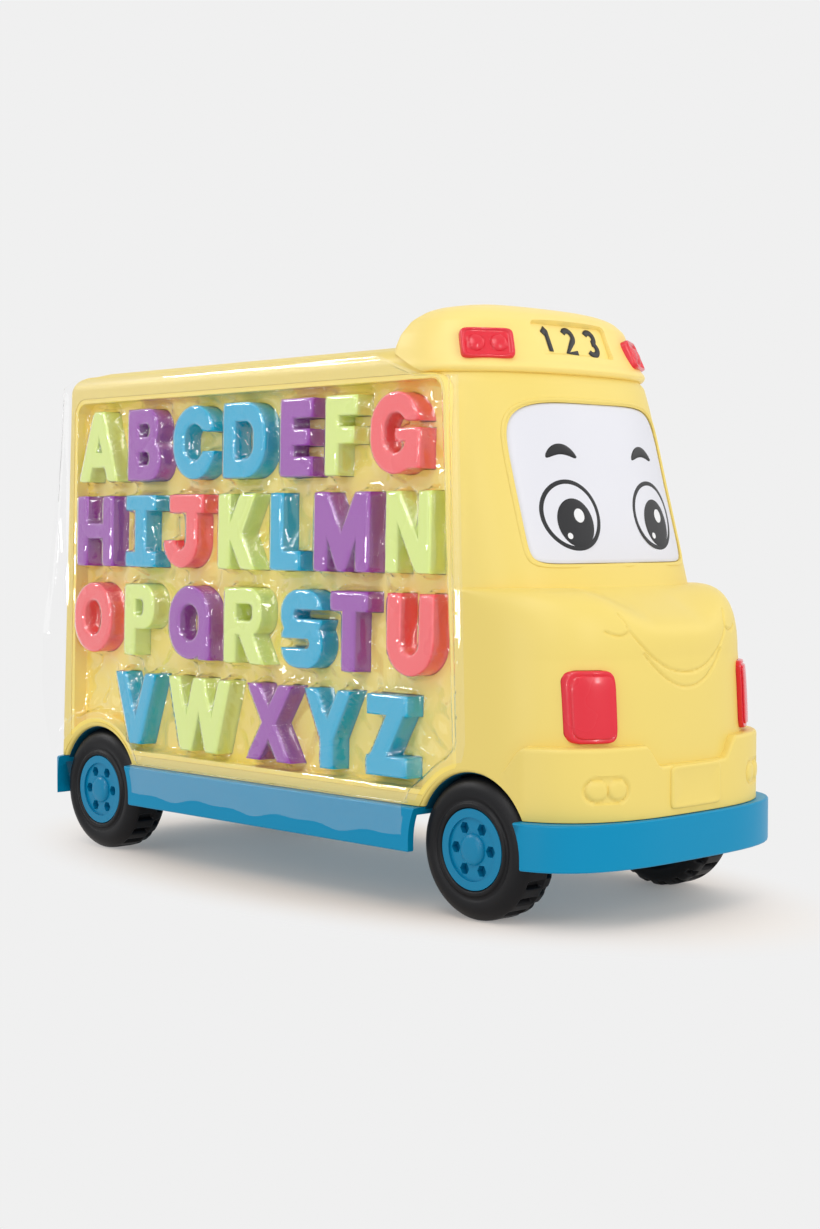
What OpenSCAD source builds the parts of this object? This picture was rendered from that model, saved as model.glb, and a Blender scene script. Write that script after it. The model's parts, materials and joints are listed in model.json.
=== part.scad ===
// Toy bus with press-in letters: X forward, Y left, Z up, ground at z = 0, letter side faces -Y.

/* [Body] */
// height of the shell's lower edge
base_z = 41.3; // [41.2:0.1:42]
// half width of the shell at its lower edge
half_width = 65; // [64.5:0.1:65.5]
// lean of both sides, in degrees
side_lean = 1.4; // [1.2:0.1:1.6]
// wall of the shell
wall = 2.8; // [2.5:0.1:3]
// highest point of the roof
roof_z = 221; // [220:0.5:222]
// radius of the roof's edge
roof_radius = 8; // [7:0.5:9]
// how far the lower fascia stands out
fascia_proud = 2.2; // [1.8:0.1:2.6]
// radius of the wheel arches
arch_radius = 29.2; // [28.8:0.1:29.4]
// wall of the roof visor
visor_wall = 2.2; // [2:0.1:2.4]

/* [Chassis] */
// lowest edge of skirts and bumpers
skirt_bottom = 23.5; // [22:0.5:25]
// wall of skirts and bumpers
skirt_wall = 3; // [2.6:0.1:3.4]
// thickness of the floor plate
floor_plate = 3; // [2.6:0.1:3.2]

/* [Wheels] */
// distance between the axles
wheelbase = 240; // [239:0.5:241]
// position of the front axle
front_axle_x = 111; // [110.5:0.1:111.5]
// radius over the tread
tyre_radius = 27.5; // [27:0.1:27.8]
// width of a tyre
tyre_width = 21; // [20:0.5:22]
// radius of a wheel hub
hub_radius = 15.5; // [15:0.1:16]
// radius of an axle
axle_radius = 2; // [1.9:0.05:2.1]
// tread notches on each shoulder
tread_notches = 22; // [16:1:26]

/* [Letters] */
// height of a letter
letter_height = 32; // [31:0.25:32.5]
// stroke of a letter
stroke = 8; // [7.6:0.1:8.4]
// how far a letter stands above the tray
letter_rise = 9; // [8:0.25:9.5]
// press travel of a letter
letter_travel = 1.2; // [1:0.1:1.4]
// clearance between a letter and its socket
letter_gap = 0.4; // [0.3:0.05:0.5]

/* [Controls] */
// press travel of a headlamp
lamp_travel = 2; // [1.5:0.1:2]
// clearance round a headlamp
lamp_gap = 0.4; // [0.3:0.05:0.5]
// travel of the power switch
switch_travel = 6; // [5:0.5:6]

/* [Hidden] */
$fn = 48;

// colours
yellow = [0.95, 0.84, 0.48];
blue = [0.0, 0.55, 0.74];
letter_blue = [0.2, 0.6, 0.74];
lime = [0.76, 0.88, 0.4];
purple = [0.55, 0.3, 0.63];
coral = [0.94, 0.37, 0.41];
red = [0.86, 0.15, 0.2];
black = [0.1, 0.1, 0.11];
white = [0.9, 0.9, 0.93];
steel = [0.7, 0.71, 0.73];
green = [0.1, 0.42, 0.25];
clear = [0.85, 0.9, 0.95, 0.3];

// general
overrun = 1;
seat_gap = 0.3;
fine_gap = 0.1;
far = 400;
axle_z = tyre_radius;
rear_axle_x = front_axle_x - wheelbase;
nose_x = 165;
nose_round = 50;
rear_foot_x = -168;
rear_lean_share = 0.021;
rear_depth = 14;
body_high = roof_z - base_z;
front_power = 2.5;
rear_power = 2.6;
front_steps = 26;
side_steps = 3;
rear_steps = 10;

// outline of the body: height as a share of the body's, setback and depth of the nose as shares of its round
low_shares = [[0, 0, 1], [0.16, 0.008, 1], [0.27, 0.028, 1], [0.327, 0.048, 1]];
cab_shares = [[0.471, 0.574, 0.89], [0.516, 0.62, 0.88], [0.694, 0.8, 0.868], [0.872, 0.97, 0.852],
    [0.917, 1.03, 0.84]];
roof_shares = [0.944, 1.13, 0.84];
function level(s) = [base_z + s[0] * body_high, nose_x - s[1] * nose_round, s[2] * nose_round];
low_levels = [for (s = low_shares) level(s)];
cab_levels = [for (s = cab_shares) level(s)];
roof_start = level(roof_shares);
roof_steps = 3;
crown_inset = 24;
crown_centre = 36;
crown_drop = 0.6;

// hood: heights of the curve's two middle points, in the centre and over the cheeks
hood_steps = 7;
dip_low = 113.2;
dip_high = 114.6;
cheek_low = 121;
cheek_high = 127.5;
dip_share = 0.16;
cheek_share = 0.34;
dip_from_share = 0.16;
dip_to_share = 0.58;

function mix(a, b, t) = a + (b - a) * t;
function smooth(t) = let (c = min(1, max(0, t))) c * c * (3 - 2 * c);
function signed_power(v, p) = sign(v) * pow(abs(v), p);
function half_at(z) = half_width - (z - base_z) * tan(side_lean);
function rear_at(z) = rear_foot_x + (z - base_z) * rear_lean_share;

// closed outline, anticlockwise from above, from the nose's right end
function outline(nose, depth, half, tail, tail_depth, power = front_power) = concat(
    [for (i = [0:front_steps]) let (t = -90 + 180 * i / front_steps)
        [nose - depth + depth * pow(max(0, cos(t)), 2 / power), half * signed_power(sin(t), 2 / power)]],
    [for (i = [1:side_steps - 1]) [mix(nose - depth, tail + tail_depth, i / side_steps), half]],
    [for (i = [0:rear_steps]) let (t = 90 + 180 * i / rear_steps)
        [tail + tail_depth - tail_depth * pow(max(0, -cos(t)), 2 / rear_power),
            half * signed_power(sin(t), 2 / rear_power)]],
    [for (i = [1:side_steps - 1]) [mix(tail + tail_depth, nose - depth, i / side_steps), -half]]);
function level_outline(l, grow, power = front_power) = outline(l[1] + grow, l[2] + grow,
    half_at(l[0]) + grow, rear_at(l[0]) - grow, rear_depth + grow, power);
function at_height(points, z) = [for (p = points) [p[0], p[1], z]];
function bezier(a, b, c, d, t) = pow(1 - t, 3) * a + 3 * pow(1 - t, 2) * t * b
    + 3 * (1 - t) * t * t * c + t * t * t * d;
function hood_ring(low, high, t, grow, z_grow) = let (
    foot = level_outline(low, grow),
    top = level_outline(high, grow))
    [for (i = [0:len(foot) - 1]) let (
        out = abs(foot[i][1]) / half_width,
        cheek = smooth((out - dip_from_share) / (dip_to_share - dip_from_share)),
        along = bezier(0, 0, mix(dip_share, cheek_share, cheek), 1, t),
        first = mix(dip_low, cheek_low, cheek),
        second = mix(dip_high, cheek_high, cheek),
        rise = bezier(low[0], first, second, high[0], t),
        up = (rise - low[0]) / (high[0] - low[0]),
        narrow = (half_at(rise) + grow) / (half_at(low[0]) + grow))
        [mix(foot[i][0], top[i][0], foot[i][0] > 0 ? along : up), foot[i][1] * narrow, rise + z_grow]];
function roof_ring(inset, z, grow) = at_height(outline(roof_start[1] + grow - inset,
    roof_start[2] + grow - inset, half_at(roof_start[0]) + grow - inset,
    rear_at(roof_start[0]) - grow + inset, max(rear_depth + grow - inset, rear_depth / 2)), z);
function body_rings(grow, foot_drop) = let (last = len(low_levels) - 1) concat(
    [at_height(level_outline(low_levels[0], grow), base_z - foot_drop)],
    [for (i = [1:last]) at_height(level_outline(low_levels[i], grow), low_levels[i][0] + grow)],
    [for (i = [1:hood_steps - 1])
        hood_ring(low_levels[last], cab_levels[0], i / hood_steps, grow, grow)],
    [for (l = cab_levels) at_height(level_outline(l, grow), l[0] + grow)],
    [for (i = [0:roof_steps]) let (t = 90 * i / roof_steps)
        roof_ring(roof_radius * (1 - cos(t)), roof_start[0] + grow + roof_radius * sin(t), grow)],
    [roof_ring(crown_inset, roof_z - crown_drop + grow, grow),
        roof_ring(crown_centre, roof_z + grow, grow)]);

// solid through a stack of rings with equal numbers of points
module loft(rings) {
    n = len(rings[0]);
    m = len(rings);
    polyhedron(points = [for (r = rings) each r],
        faces = concat([[for (j = [0:n - 1]) j]],
            [for (i = [0:m - 2]) each [for (j = [0:n - 1]) each let (k = (j + 1) % n)
                [[i * n + j, (i + 1) * n + j, (i + 1) * n + k], [i * n + j, (i + 1) * n + k, i * n + k]]]],
            [[for (j = [n - 1:-1:0]) (m - 1) * n + j]]));
}
function levels_at(z) = z < dip_low ? low_levels : cab_levels;
function nose_at(z) = lookup(z, [for (l = levels_at(z)) [l[0], l[1]]]);
function depth_at(z) = lookup(z, [for (l = levels_at(z)) [l[0], l[2]]]);
// the front of hood and cab as a height over y and z
function front_at(y, z) = nose_at(z) - depth_at(z)
    + depth_at(z) * pow(max(0, 1 - pow(abs(y) / half_at(z), front_power)), 1 / front_power);

// local frame of the letter side: x along the bus, y up the wall, z outward, origin on the wall's foot
module on_side() translate([0, -half_width, base_z]) rotate([90 - side_lean, 0, 0]) children();
module rounded_plate(size, r, t) linear_extrude(t) rounded(size, r);
module rounded(size, r) {
    square([size[0] - 2 * r, size[1]], center = true);
    square([size[0], size[1] - 2 * r], center = true);
    for (i = [-1, 1], j = [-1, 1]) translate([i * (size[0] / 2 - r), j * (size[1] / 2 - r)]) circle(r);
}
module along_y(r, y0, y1) translate([0, y0, 0]) rotate([-90, 0, 0]) cylinder(r = r, h = y1 - y0);

// windscreen: outline in y and z, and depth below the surface
screen_half = 45.4;
screen_low = 134.9;
screen_high = 197.3;
screen_side_power = 9;
screen_foot_power = 36;
screen_head_power = 4.5;
screen_rows = 10;
screen_columns = 16;
screen_sunk = 0.5;
screen_thick = 1.2;

function screen_x(y, z) = front_at(y, z);
// half width of the windscreen: straight sides, round upper corners, arched top
function screen_half_at(t, grow) = (screen_half + grow) * (t < 1 / 2
    ? pow(max(0, 1 - pow(1 - 2 * t, screen_foot_power)), 1 / screen_side_power)
    : pow(max(0, 1 - pow(2 * t - 1, screen_head_power)), 1 / screen_head_power));
screen_edge_share = 0.002;
// slab that follows the cab's front between two depths
module screen_slab(grow, near, deep) {
    nc = screen_columns;
    nr = screen_rows;
    rows = [for (i = [0:nr]) let (
        t = mix(screen_edge_share, 1 - screen_edge_share, (1 - cos(180 * i / nr)) / 2),
        z = mix(screen_low - grow, screen_high + grow, t),
        h = screen_half_at(t, grow)) [z, h]];
    face = function (d) [for (r = rows) each [for (j = [0:nc]) let (y = r[1] * (2 * j / nc - 1))
        [screen_x(y, r[0]) - d, y, r[0]]]];
    c = nc + 1;
    base = (nr + 1) * c;
    polyhedron(points = concat(face(near), face(deep)),
        faces = concat(
            [for (i = [0:nr - 1]) each [for (j = [0:nc - 1]) each let (a = i * c + j)
                [[a, a + c, a + c + 1], [a, a + c + 1, a + 1]]]],
            [for (i = [0:nr - 1]) each [for (j = [0:nc - 1]) each let (a = base + i * c + j)
                [[a, a + c + 1, a + c], [a, a + 1, a + c + 1]]]],
            [for (i = [0:nr - 1]) each let (a = i * c)
                [[a, base + a, base + a + c], [a, base + a + c, a + c]]],
            [for (i = [0:nr - 1]) each let (a = i * c + nc)
                [[a, base + a + c, base + a], [a, a + c, base + a + c]]],
            [for (j = [0:nc - 1]) each [[j, base + j + 1, base + j], [j, j + 1, base + j + 1]]],
            [for (j = [0:nc - 1]) each let (a = nr * c + j)
                [[a, base + a, base + a + 1], [a, base + a + 1, a + 1]]]));
}
module windscreen_panel() color(white)
    screen_slab(-seat_gap, screen_sunk, screen_sunk + screen_thick);

// headlamp buttons: outline in y and z
lamp_y = 45.6;
lamp_z = 83;
lamp_wide = 15.6;
lamp_tall = 26.8;
lamp_corner = 4;
lamp_proud = 3;
lamp_back_x = 146;
lamp_stem_x = 144.5;
lamp_stem_r = 3;
lamp_ring = 28;
lamp_power = 5;
lamp_bevel_share = 0.97;
lamp_edge_share = 0.9;
lamp_middle_share = 0.5;
lamp_centre_share = 0.1;
lamp_shoulder_share = 0.85;
lamp_flange = 2;

module lamp_window(grow, depth) translate([lamp_back_x - depth, lamp_y, lamp_z]) rotate([90, 0, 90])
    linear_extrude(depth + half_width)
        rounded([lamp_wide + 2 * grow, lamp_tall + 2 * grow], lamp_corner + grow);
function lamp_loop(scale) = [for (i = [0:lamp_ring - 1]) let (t = 360 * i / lamp_ring)
    [lamp_y + scale * lamp_wide / 2 * signed_power(cos(t), 2 / lamp_power),
        lamp_z + scale * lamp_tall / 2 * signed_power(sin(t), 2 / lamp_power)]];
function lamp_face(scale, lift) = [for (p = lamp_loop(scale)) [front_at(p[0], p[1]) + lift, p[0], p[1]]];
module headlamp_button() color(red) {
    loft([[for (p = lamp_loop(1)) [lamp_back_x, p[0], p[1]]],
        lamp_face(1, lamp_proud / 2),
        lamp_face(lamp_bevel_share, lamp_shoulder_share * lamp_proud),
        lamp_face(lamp_edge_share, lamp_proud),
        lamp_face(lamp_middle_share, lamp_proud),
        lamp_face(lamp_centre_share, lamp_proud)]);
    translate([lamp_stem_x, lamp_y, lamp_z]) rotate([0, 90, 0])
        cylinder(r = lamp_stem_r, h = lamp_back_x - lamp_stem_x + lamp_flange);
}
module headlamp_button_left() headlamp_button();
module headlamp_button_right() mirror([0, 1, 0]) headlamp_button();

// front details
smile_half = 28.5;
smile_low = 93;
smile_high = 110;
smile_radius = 1;
smile_steps = 12;
plate_half = 15;
plate_low = 43.6;
plate_high = 59.8;
plate_x = 168.2;
plate_deep = 6;
fascia_power = 3;
fascia_high = 68.4;
fascia_low = 60.2;
fascia_step_out = 28;
fascia_step_in = 19;
fascia_rear_x = 125;
fog_y = 44.2;
fog_z = 52.8;
fog_turn = 33;
fog_radius = 5;
fog_dome = 4.6;
fog_deep = 0.9;
fog_dome_sink = 2.9;
tub_wall = 1.6;
boss_radius = 4;
boss_hole = 1.45;
boss_top = 56;
boss_front = [153.5, 41];
boss_rear = [-156, 32];
boss_side_y = 59;
boss_ahead_x = 50;
boss_behind_x = -70;
boss_spots = [boss_front, [boss_front[0], -boss_front[1]], boss_rear, [boss_rear[0], -boss_rear[1]],
    [boss_ahead_x, boss_side_y], [boss_behind_x, boss_side_y]];
tray_boss_r = 3.2;
tray_boss_hole = 1.0;
tray_boss_deep = 6.5;

module smile_point(y, z) translate([front_at(y, z), y, z]) sphere(r = smile_radius, $fn = 8);
function smile_z(t) = mix(smile_high, smile_low, 1 - t * t);
module smile_groove() for (i = [0:smile_steps - 1]) {
    a = 2 * i / smile_steps - 1;
    b = 2 * (i + 1) / smile_steps - 1;
    hull() {
        smile_point(a * smile_half, smile_z(a));
        smile_point(b * smile_half, smile_z(b));
    }
}
module fog_frame() translate([front_at(fog_y, fog_z) + fascia_proud, fog_y, fog_z])
    rotate([0, 0, fog_turn]) rotate([0, 90, 0]) children();
module fog_recess() fog_frame() translate([0, 0, -fog_deep]) hull() for (i = [-1, 1])
    translate([0, i * fog_radius, 0]) cylinder(r = fog_radius + fog_deep, h = fog_dome, $fn = 32);
module fog_domes() fog_frame() for (i = [-1, 1])
    translate([0, i * fog_radius, -fog_dome_sink]) sphere(r = fog_dome, $fn = 16);
function fascia_ring(l) = at_height(level_outline(l, fascia_proud, fascia_power), l[0]);
module fascia() intersection() {
    loft([fascia_ring(low_levels[0]), fascia_ring(low_levels[1])]);
    translate([fascia_rear_x, 0, 0]) rotate([90, 0, 90]) linear_extrude(half_width)
        polygon([[-far, base_z], [far, base_z], [far, fascia_high], [fascia_step_out, fascia_high],
            [fascia_step_in, fascia_low], [-fascia_step_in, fascia_low], [-fascia_step_out, fascia_high],
            [-far, fascia_high]]);
}
module at_wheels() for (x = [front_axle_x, rear_axle_x]) translate([x, 0, axle_z]) children();
module both_sides() {
    children();
    mirror([0, 1, 0]) children();
}
module body_shell() color(yellow) {
    difference() {
        union() {
            difference() {
                union() {
                    loft(body_rings(0, 0));
                    fascia();
                    translate([plate_x - plate_deep, -plate_half, plate_low])
                        cube([plate_deep, 2 * plate_half, plate_high - plate_low]);
                }
                loft(body_rings(-wall, overrun));
            }
            intersection() {
                loft(body_rings(-wall / 2, 0));
                union() {
                    for (p = boss_spots) translate([p[0], p[1], base_z])
                        cylinder(r = boss_radius, h = boss_top - base_z, $fn = 24);
                    on_side() for (p = tray_spots) translate([p[0], p[1], -tray_boss_deep])
                        cylinder(r = tray_boss_r, h = tray_boss_deep, $fn = 20);
                }
            }
        }
        both_sides() at_wheels() along_y(arch_radius, notch_in, far);
        for (p = boss_spots) translate([p[0], p[1], base_z - overrun])
            cylinder(r = boss_hole, h = boss_top - base_z, $fn = 16);
        on_side() for (p = tray_spots) translate([p[0], p[1], -tray_boss_deep - overrun])
            cylinder(r = tray_boss_hole, h = tray_boss_deep - overrun, $fn = 12);
        on_side() translate([0, 0, -wall - tray_boss_deep]) linear_extrude(far) tray_outline(seat_gap);
        screen_slab(0, -wall, screen_sunk + screen_thick + seat_gap);
        both_sides() lamp_window(lamp_gap, wall + lamp_proud);
        both_sides() fog_recess();
        smile_groove();
    }
    intersection() {
        both_sides() fog_domes();
        difference() {
            loft([for (i = [0:2])
                at_height(level_outline(low_levels[i], fascia_proud + fog_dome), low_levels[i][0])]);
            loft(body_rings(-wall / 2, 0));
        }
    }
}

// roof visor with sign recess and lamp seats: its lower outline, and its levels as shares of the height,
// of the depth for setback, of the depth, of the half width, of the depth for the tail, of the tail's depth
visor_low = 208.5;
visor_top = 237;
visor_nose = 117;
visor_depth = 44;
visor_half = 63.2;
visor_tail = 57;
visor_tail_depth = 12;
visor_shares = [[0, 0, 1, 1, 0, 1], [0.105, 0.014, 1, 1, 0, 1], [0.175, 0.114, 0.977, 0.984, 0, 0.917],
    [0.368, 0.227, 0.886, 0.956, 0.023, 0.833], [0.544, 0.295, 0.795, 0.924, 0.08, 0.667],
    [0.737, 0.375, 0.659, 0.862, 0.17, 0.542], [0.874, 0.486, 0.477, 0.759, 0.273, 0.417],
    [0.958, 0.614, 0.295, 0.617, 0.364, 0.292], [1, 0.75, 0.114, 0.427, 0.443, 0.167]];
visor_levels = [for (s = visor_shares) [mix(visor_low, visor_top, s[0]), visor_nose - s[1] * visor_depth,
    s[2] * visor_depth, s[3] * visor_half, visor_tail + s[4] * visor_depth, s[5] * visor_tail_depth]];
visor_gap = 0.25;
visor_lip_x = 82;
sign_x = 103.6;
sign_z = 222.8;
sign_lean = 24;
sign_size = [14, 43];
sign_deep = 0.9;
sign_corner = 2;
roof_lamp_y = 43;
roof_lamp_z = 219;
roof_lamp_x = 98.4;
roof_lamp_turn = 31;
roof_lamp_lean = 24;
roof_lamp_size = [11.4, 24];
roof_lamp_corner = 2.2;
roof_lamp_deep = 1.2;
roof_lamp_proud = 2;
roof_lamp_dome = 4.4;
roof_lamp_dome_sink = 2.6;
peg_front = [92, 24];
peg_rear = [74, 40];
peg_spots = [peg_front, [peg_front[0], -peg_front[1]], peg_rear, [peg_rear[0], -peg_rear[1]],
    [peg_rear[0], 0]];
peg_radius = 3;
peg_high = 230;
peg_sink = 6;
function visor_rings(grow) = [for (i = [0:len(visor_levels) - 1]) let (l = visor_levels[i])
    at_height(outline(l[1] + grow, l[2] + grow, l[3] + grow, l[4] - grow, l[5] + grow),
        l[0] + (i == 0 ? sign(grow) * overrun : grow))];
module roof_lamp_frame() translate([roof_lamp_x, roof_lamp_y, roof_lamp_z])
    rotate([0, 0, roof_lamp_turn]) rotate([0, 90 - roof_lamp_lean, 0]) children();
module lamp_seat(grow) roof_lamp_frame() translate([0, 0, -roof_lamp_deep - grow]) hull()
    for (i = [-1, 1], j = [-1, 1]) translate([i * (roof_lamp_size[0] / 2 - roof_lamp_corner),
        j * (roof_lamp_size[1] / 2 - roof_lamp_corner), 0])
        cylinder(r = roof_lamp_corner + grow, h = 2 * roof_lamp_deep + roof_radius, $fn = 24);
module roof_visor() color(yellow) difference() {
    union() {
        difference() {
            loft(visor_rings(0));
            loft(visor_rings(-visor_wall));
        }
        intersection() {
            loft(visor_rings(-visor_wall / 2));
            for (p = peg_spots) hull() {
                translate([p[0], p[1], roof_z - peg_sink])
                    cylinder(r = peg_radius / 2, h = overrun, $fn = 16);
                translate([p[0], p[1], peg_high]) cylinder(r = peg_radius, h = roof_radius, $fn = 16);
            }
        }
    }
    loft(body_rings(visor_gap, 0));
    translate([0, far / 2, 0]) rotate([90, 0, 0]) linear_extrude(far)
        polygon([[0, visor_low - roof_radius], [visor_lip_x, visor_low - roof_radius],
            [visor_lip_x, visor_low], [visor_tail + overrun, roof_z], [0, roof_z]]);
    both_sides() lamp_seat(fine_gap);
    translate([sign_x, 0, sign_z]) rotate([0, 90 - sign_lean, 0]) translate([0, 0, -sign_deep]) hull()
        for (i = [-1, 1], j = [-1, 1]) translate([i * (sign_size[0] / 2 - sign_corner),
            j * (sign_size[1] / 2 - sign_corner), 0]) cylinder(r = sign_corner, h = roof_radius, $fn = 24);
}
module roof_lamp() color(red) {
    roof_lamp_frame() translate([0, 0, -roof_lamp_deep])
        rounded_plate(roof_lamp_size, roof_lamp_corner, roof_lamp_deep + roof_lamp_proud);
    roof_lamp_frame() intersection() {
        for (j = [-1, 1])
            translate([0, j * roof_lamp_size[1] / 4, roof_lamp_proud - roof_lamp_dome_sink])
                sphere(r = roof_lamp_dome);
        translate([0, 0, far / 2]) cube(far, center = true);
    }
}
module roof_lamp_left() roof_lamp();
module roof_lamp_right() mirror([0, 1, 0]) roof_lamp();

// letter tray: a tub in the right side
tray_rear = -150.5;
tray_front_low = 104.5;
tray_front_high = 93.5;
tray_low = 4.5;
tray_high = 166.9;
tray_corner = 8;
tray_wall = 2;
tray_deep = 7;
tray_plate = 2;
tray_rim = 0.3;
tray_foot = 18.5;
cup_wall = 1.7;
cup_floor = 1.5;
arch_clear = 0.5;
letter_seat = 2.5;
socket_spare = 0.5;
socket_deep = tray_deep + letter_seat + letter_travel + socket_spare;
letter_front = letter_rise - tray_deep;
letter_back = -tray_deep - letter_seat;
dome_hole = 3.2;
ear_radius = 2.8;
ear_thick = 2;
ear_link = 9;
ear_shares = [0.2, 0.575, 0.904];
ear_lift = 3;
ear_ahead = 5;
ear_front_v = 40;
tray_long = tray_front_low - tray_rear;
top_spots = [for (s = ear_shares) [mix(tray_rear, tray_front_high, s), tray_high + ear_lift]];
front_spots = [[tray_front_low + ear_ahead, ear_front_v]];
tray_spots = concat(top_spots, front_spots);

module tray_outline(grow) offset(delta = grow) difference() {
    offset(r = tray_corner, $fn = 32) offset(delta = -tray_corner)
        polygon([[tray_rear, tray_low], [tray_front_low, tray_low], [tray_front_high, tray_high],
            [tray_rear, tray_high]]);
    for (x = [front_axle_x, rear_axle_x]) translate([x, axle_z - base_z])
        circle(r = arch_radius + tub_wall + arch_clear, $fn = 72);
}
module tray_layer(from, to) translate([0, 0, from]) linear_extrude(to - from) children();
module ear(p, link) tray_layer(-tray_boss_deep - fine_gap - ear_thick, -tray_boss_deep - fine_gap)
    difference() {
        translate(p) {
            circle(r = ear_radius);
            rotate(link) translate([0, -ear_radius]) square([ear_link, 2 * ear_radius]);
        }
        tray_outline(-tray_wall / 2);
    }
module letter_tray() color(yellow) on_side() difference() {
    union() {
        tray_layer(-tray_foot, -tray_rim) difference() {
            tray_outline(0);
            tray_outline(-tray_wall);
        }
        tray_layer(-tray_deep - tray_plate, -tray_deep) tray_outline(-tray_wall / 2);
        tray_layer(-socket_deep - cup_floor, -tray_deep - tray_plate / 2) intersection() {
            offset(delta = cup_wall + letter_gap) all_letters();
            tray_outline(-tray_wall / 2);
        }
        for (p = top_spots) ear(p, -90);
        for (p = front_spots) ear(p, 180);
    }
    tray_layer(-socket_deep, overrun) offset(delta = letter_gap) all_letters();
    for (k = [0:25]) at_dome(k, -socket_deep - 2 * cup_floor)
        cylinder(r = dome_hole, h = 2 * cup_floor + overrun);
    for (p = tray_spots) translate([p[0], p[1], -tray_foot])
        cylinder(r = tray_boss_hole + fine_gap, h = tray_foot);
}

// letters: place of the left edge as a share of the tray's length, row from the bottom, width as a share
// of the height, and the shares of width and height at which the dome sits under the letter
row_shares = [0.034, 0.28, 0.525, 0.763];
letter_shares = [
    [0.027, 3, 0.938, [0.5, 0.3]], [0.175, 3, 0.75, [0.17, 0.5]], [0.306, 3, 0.906, [0.14, 0.5]],
    [0.443, 3, 0.875, [0.15, 0.5]], [0.59, 3, 0.625, [0.2, 0.5]], [0.699, 3, 0.594, [0.2, 0.5]],
    [0.804, 3, 0.875, [0.14, 0.5]], [0.023, 2, 0.875, [0.14, 0.5]], [0.171, 2, 0.688, [0.5, 0.5]],
    [0.282, 2, 0.875, [0.67, 0.6]], [0.432, 2, 0.781, [0.16, 0.5]], [0.568, 2, 0.594, [0.2, 0.5]],
    [0.676, 2, 1.031, [0.12, 0.5]], [0.842, 2, 0.781, [0.16, 0.5]], [0.018, 1, 0.906, [0.14, 0.5]],
    [0.171, 1, 0.688, [0.18, 0.5]], [0.3, 1, 0.906, [0.14, 0.5]], [0.451, 1, 0.844, [0.15, 0.5]],
    [0.598, 1, 0.812, [0.5, 0.5]], [0.718, 1, 0.688, [0.5, 0.4]], [0.848, 1, 0.812, [0.15, 0.6]],
    [0.147, 0, 0.938, [0.5, 0.16]], [0.302, 0, 1.344, [0.32, 0.18]], [0.514, 0, 0.906, [0.5, 0.5]],
    [0.659, 0, 0.875, [0.5, 0.25]], [0.806, 0, 0.719, [0.5, 0.5]]];
function letter_u(k) = tray_rear + letter_shares[k][0] * tray_long;
function letter_v(k) = mix(tray_low, tray_high, row_shares[letter_shares[k][1]]);
function letter_w(k) = letter_shares[k][2] * letter_height;
function dome_at(k) = [letter_w(k) * letter_shares[k][3][0], letter_height * letter_shares[k][3][1]];
module at_dome(k, n) translate([letter_u(k) + dome_at(k)[0], letter_v(k) + dome_at(k)[1], n]) children();

// strokes: upright or level bar, slanted bar, round-ended block
module bar(x0, y0, x1, y1) translate([x0, y0]) square([x1 - x0, y1 - y0]);
module slant(x0, x1, t, y0, y1) polygon([[x0, y0], [x0 + t, y0], [x1 + t, y1], [x1, y1]]);
module stadium(x0, y0, x1, y1) {
    wide = x1 - x0 > y1 - y0;
    r = min(x1 - x0, y1 - y0) / 2;
    if (wide) bar(x0 + r, y0, x1 - r, y1);
    else bar(x0, y0 + r, x1, y1 - r);
    for (e = [0, 1])
        translate([wide && e == 1 ? x1 - r : x0 + r, !wide && e == 1 ? y1 - r : y0 + r]) circle(r = r);
}
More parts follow.
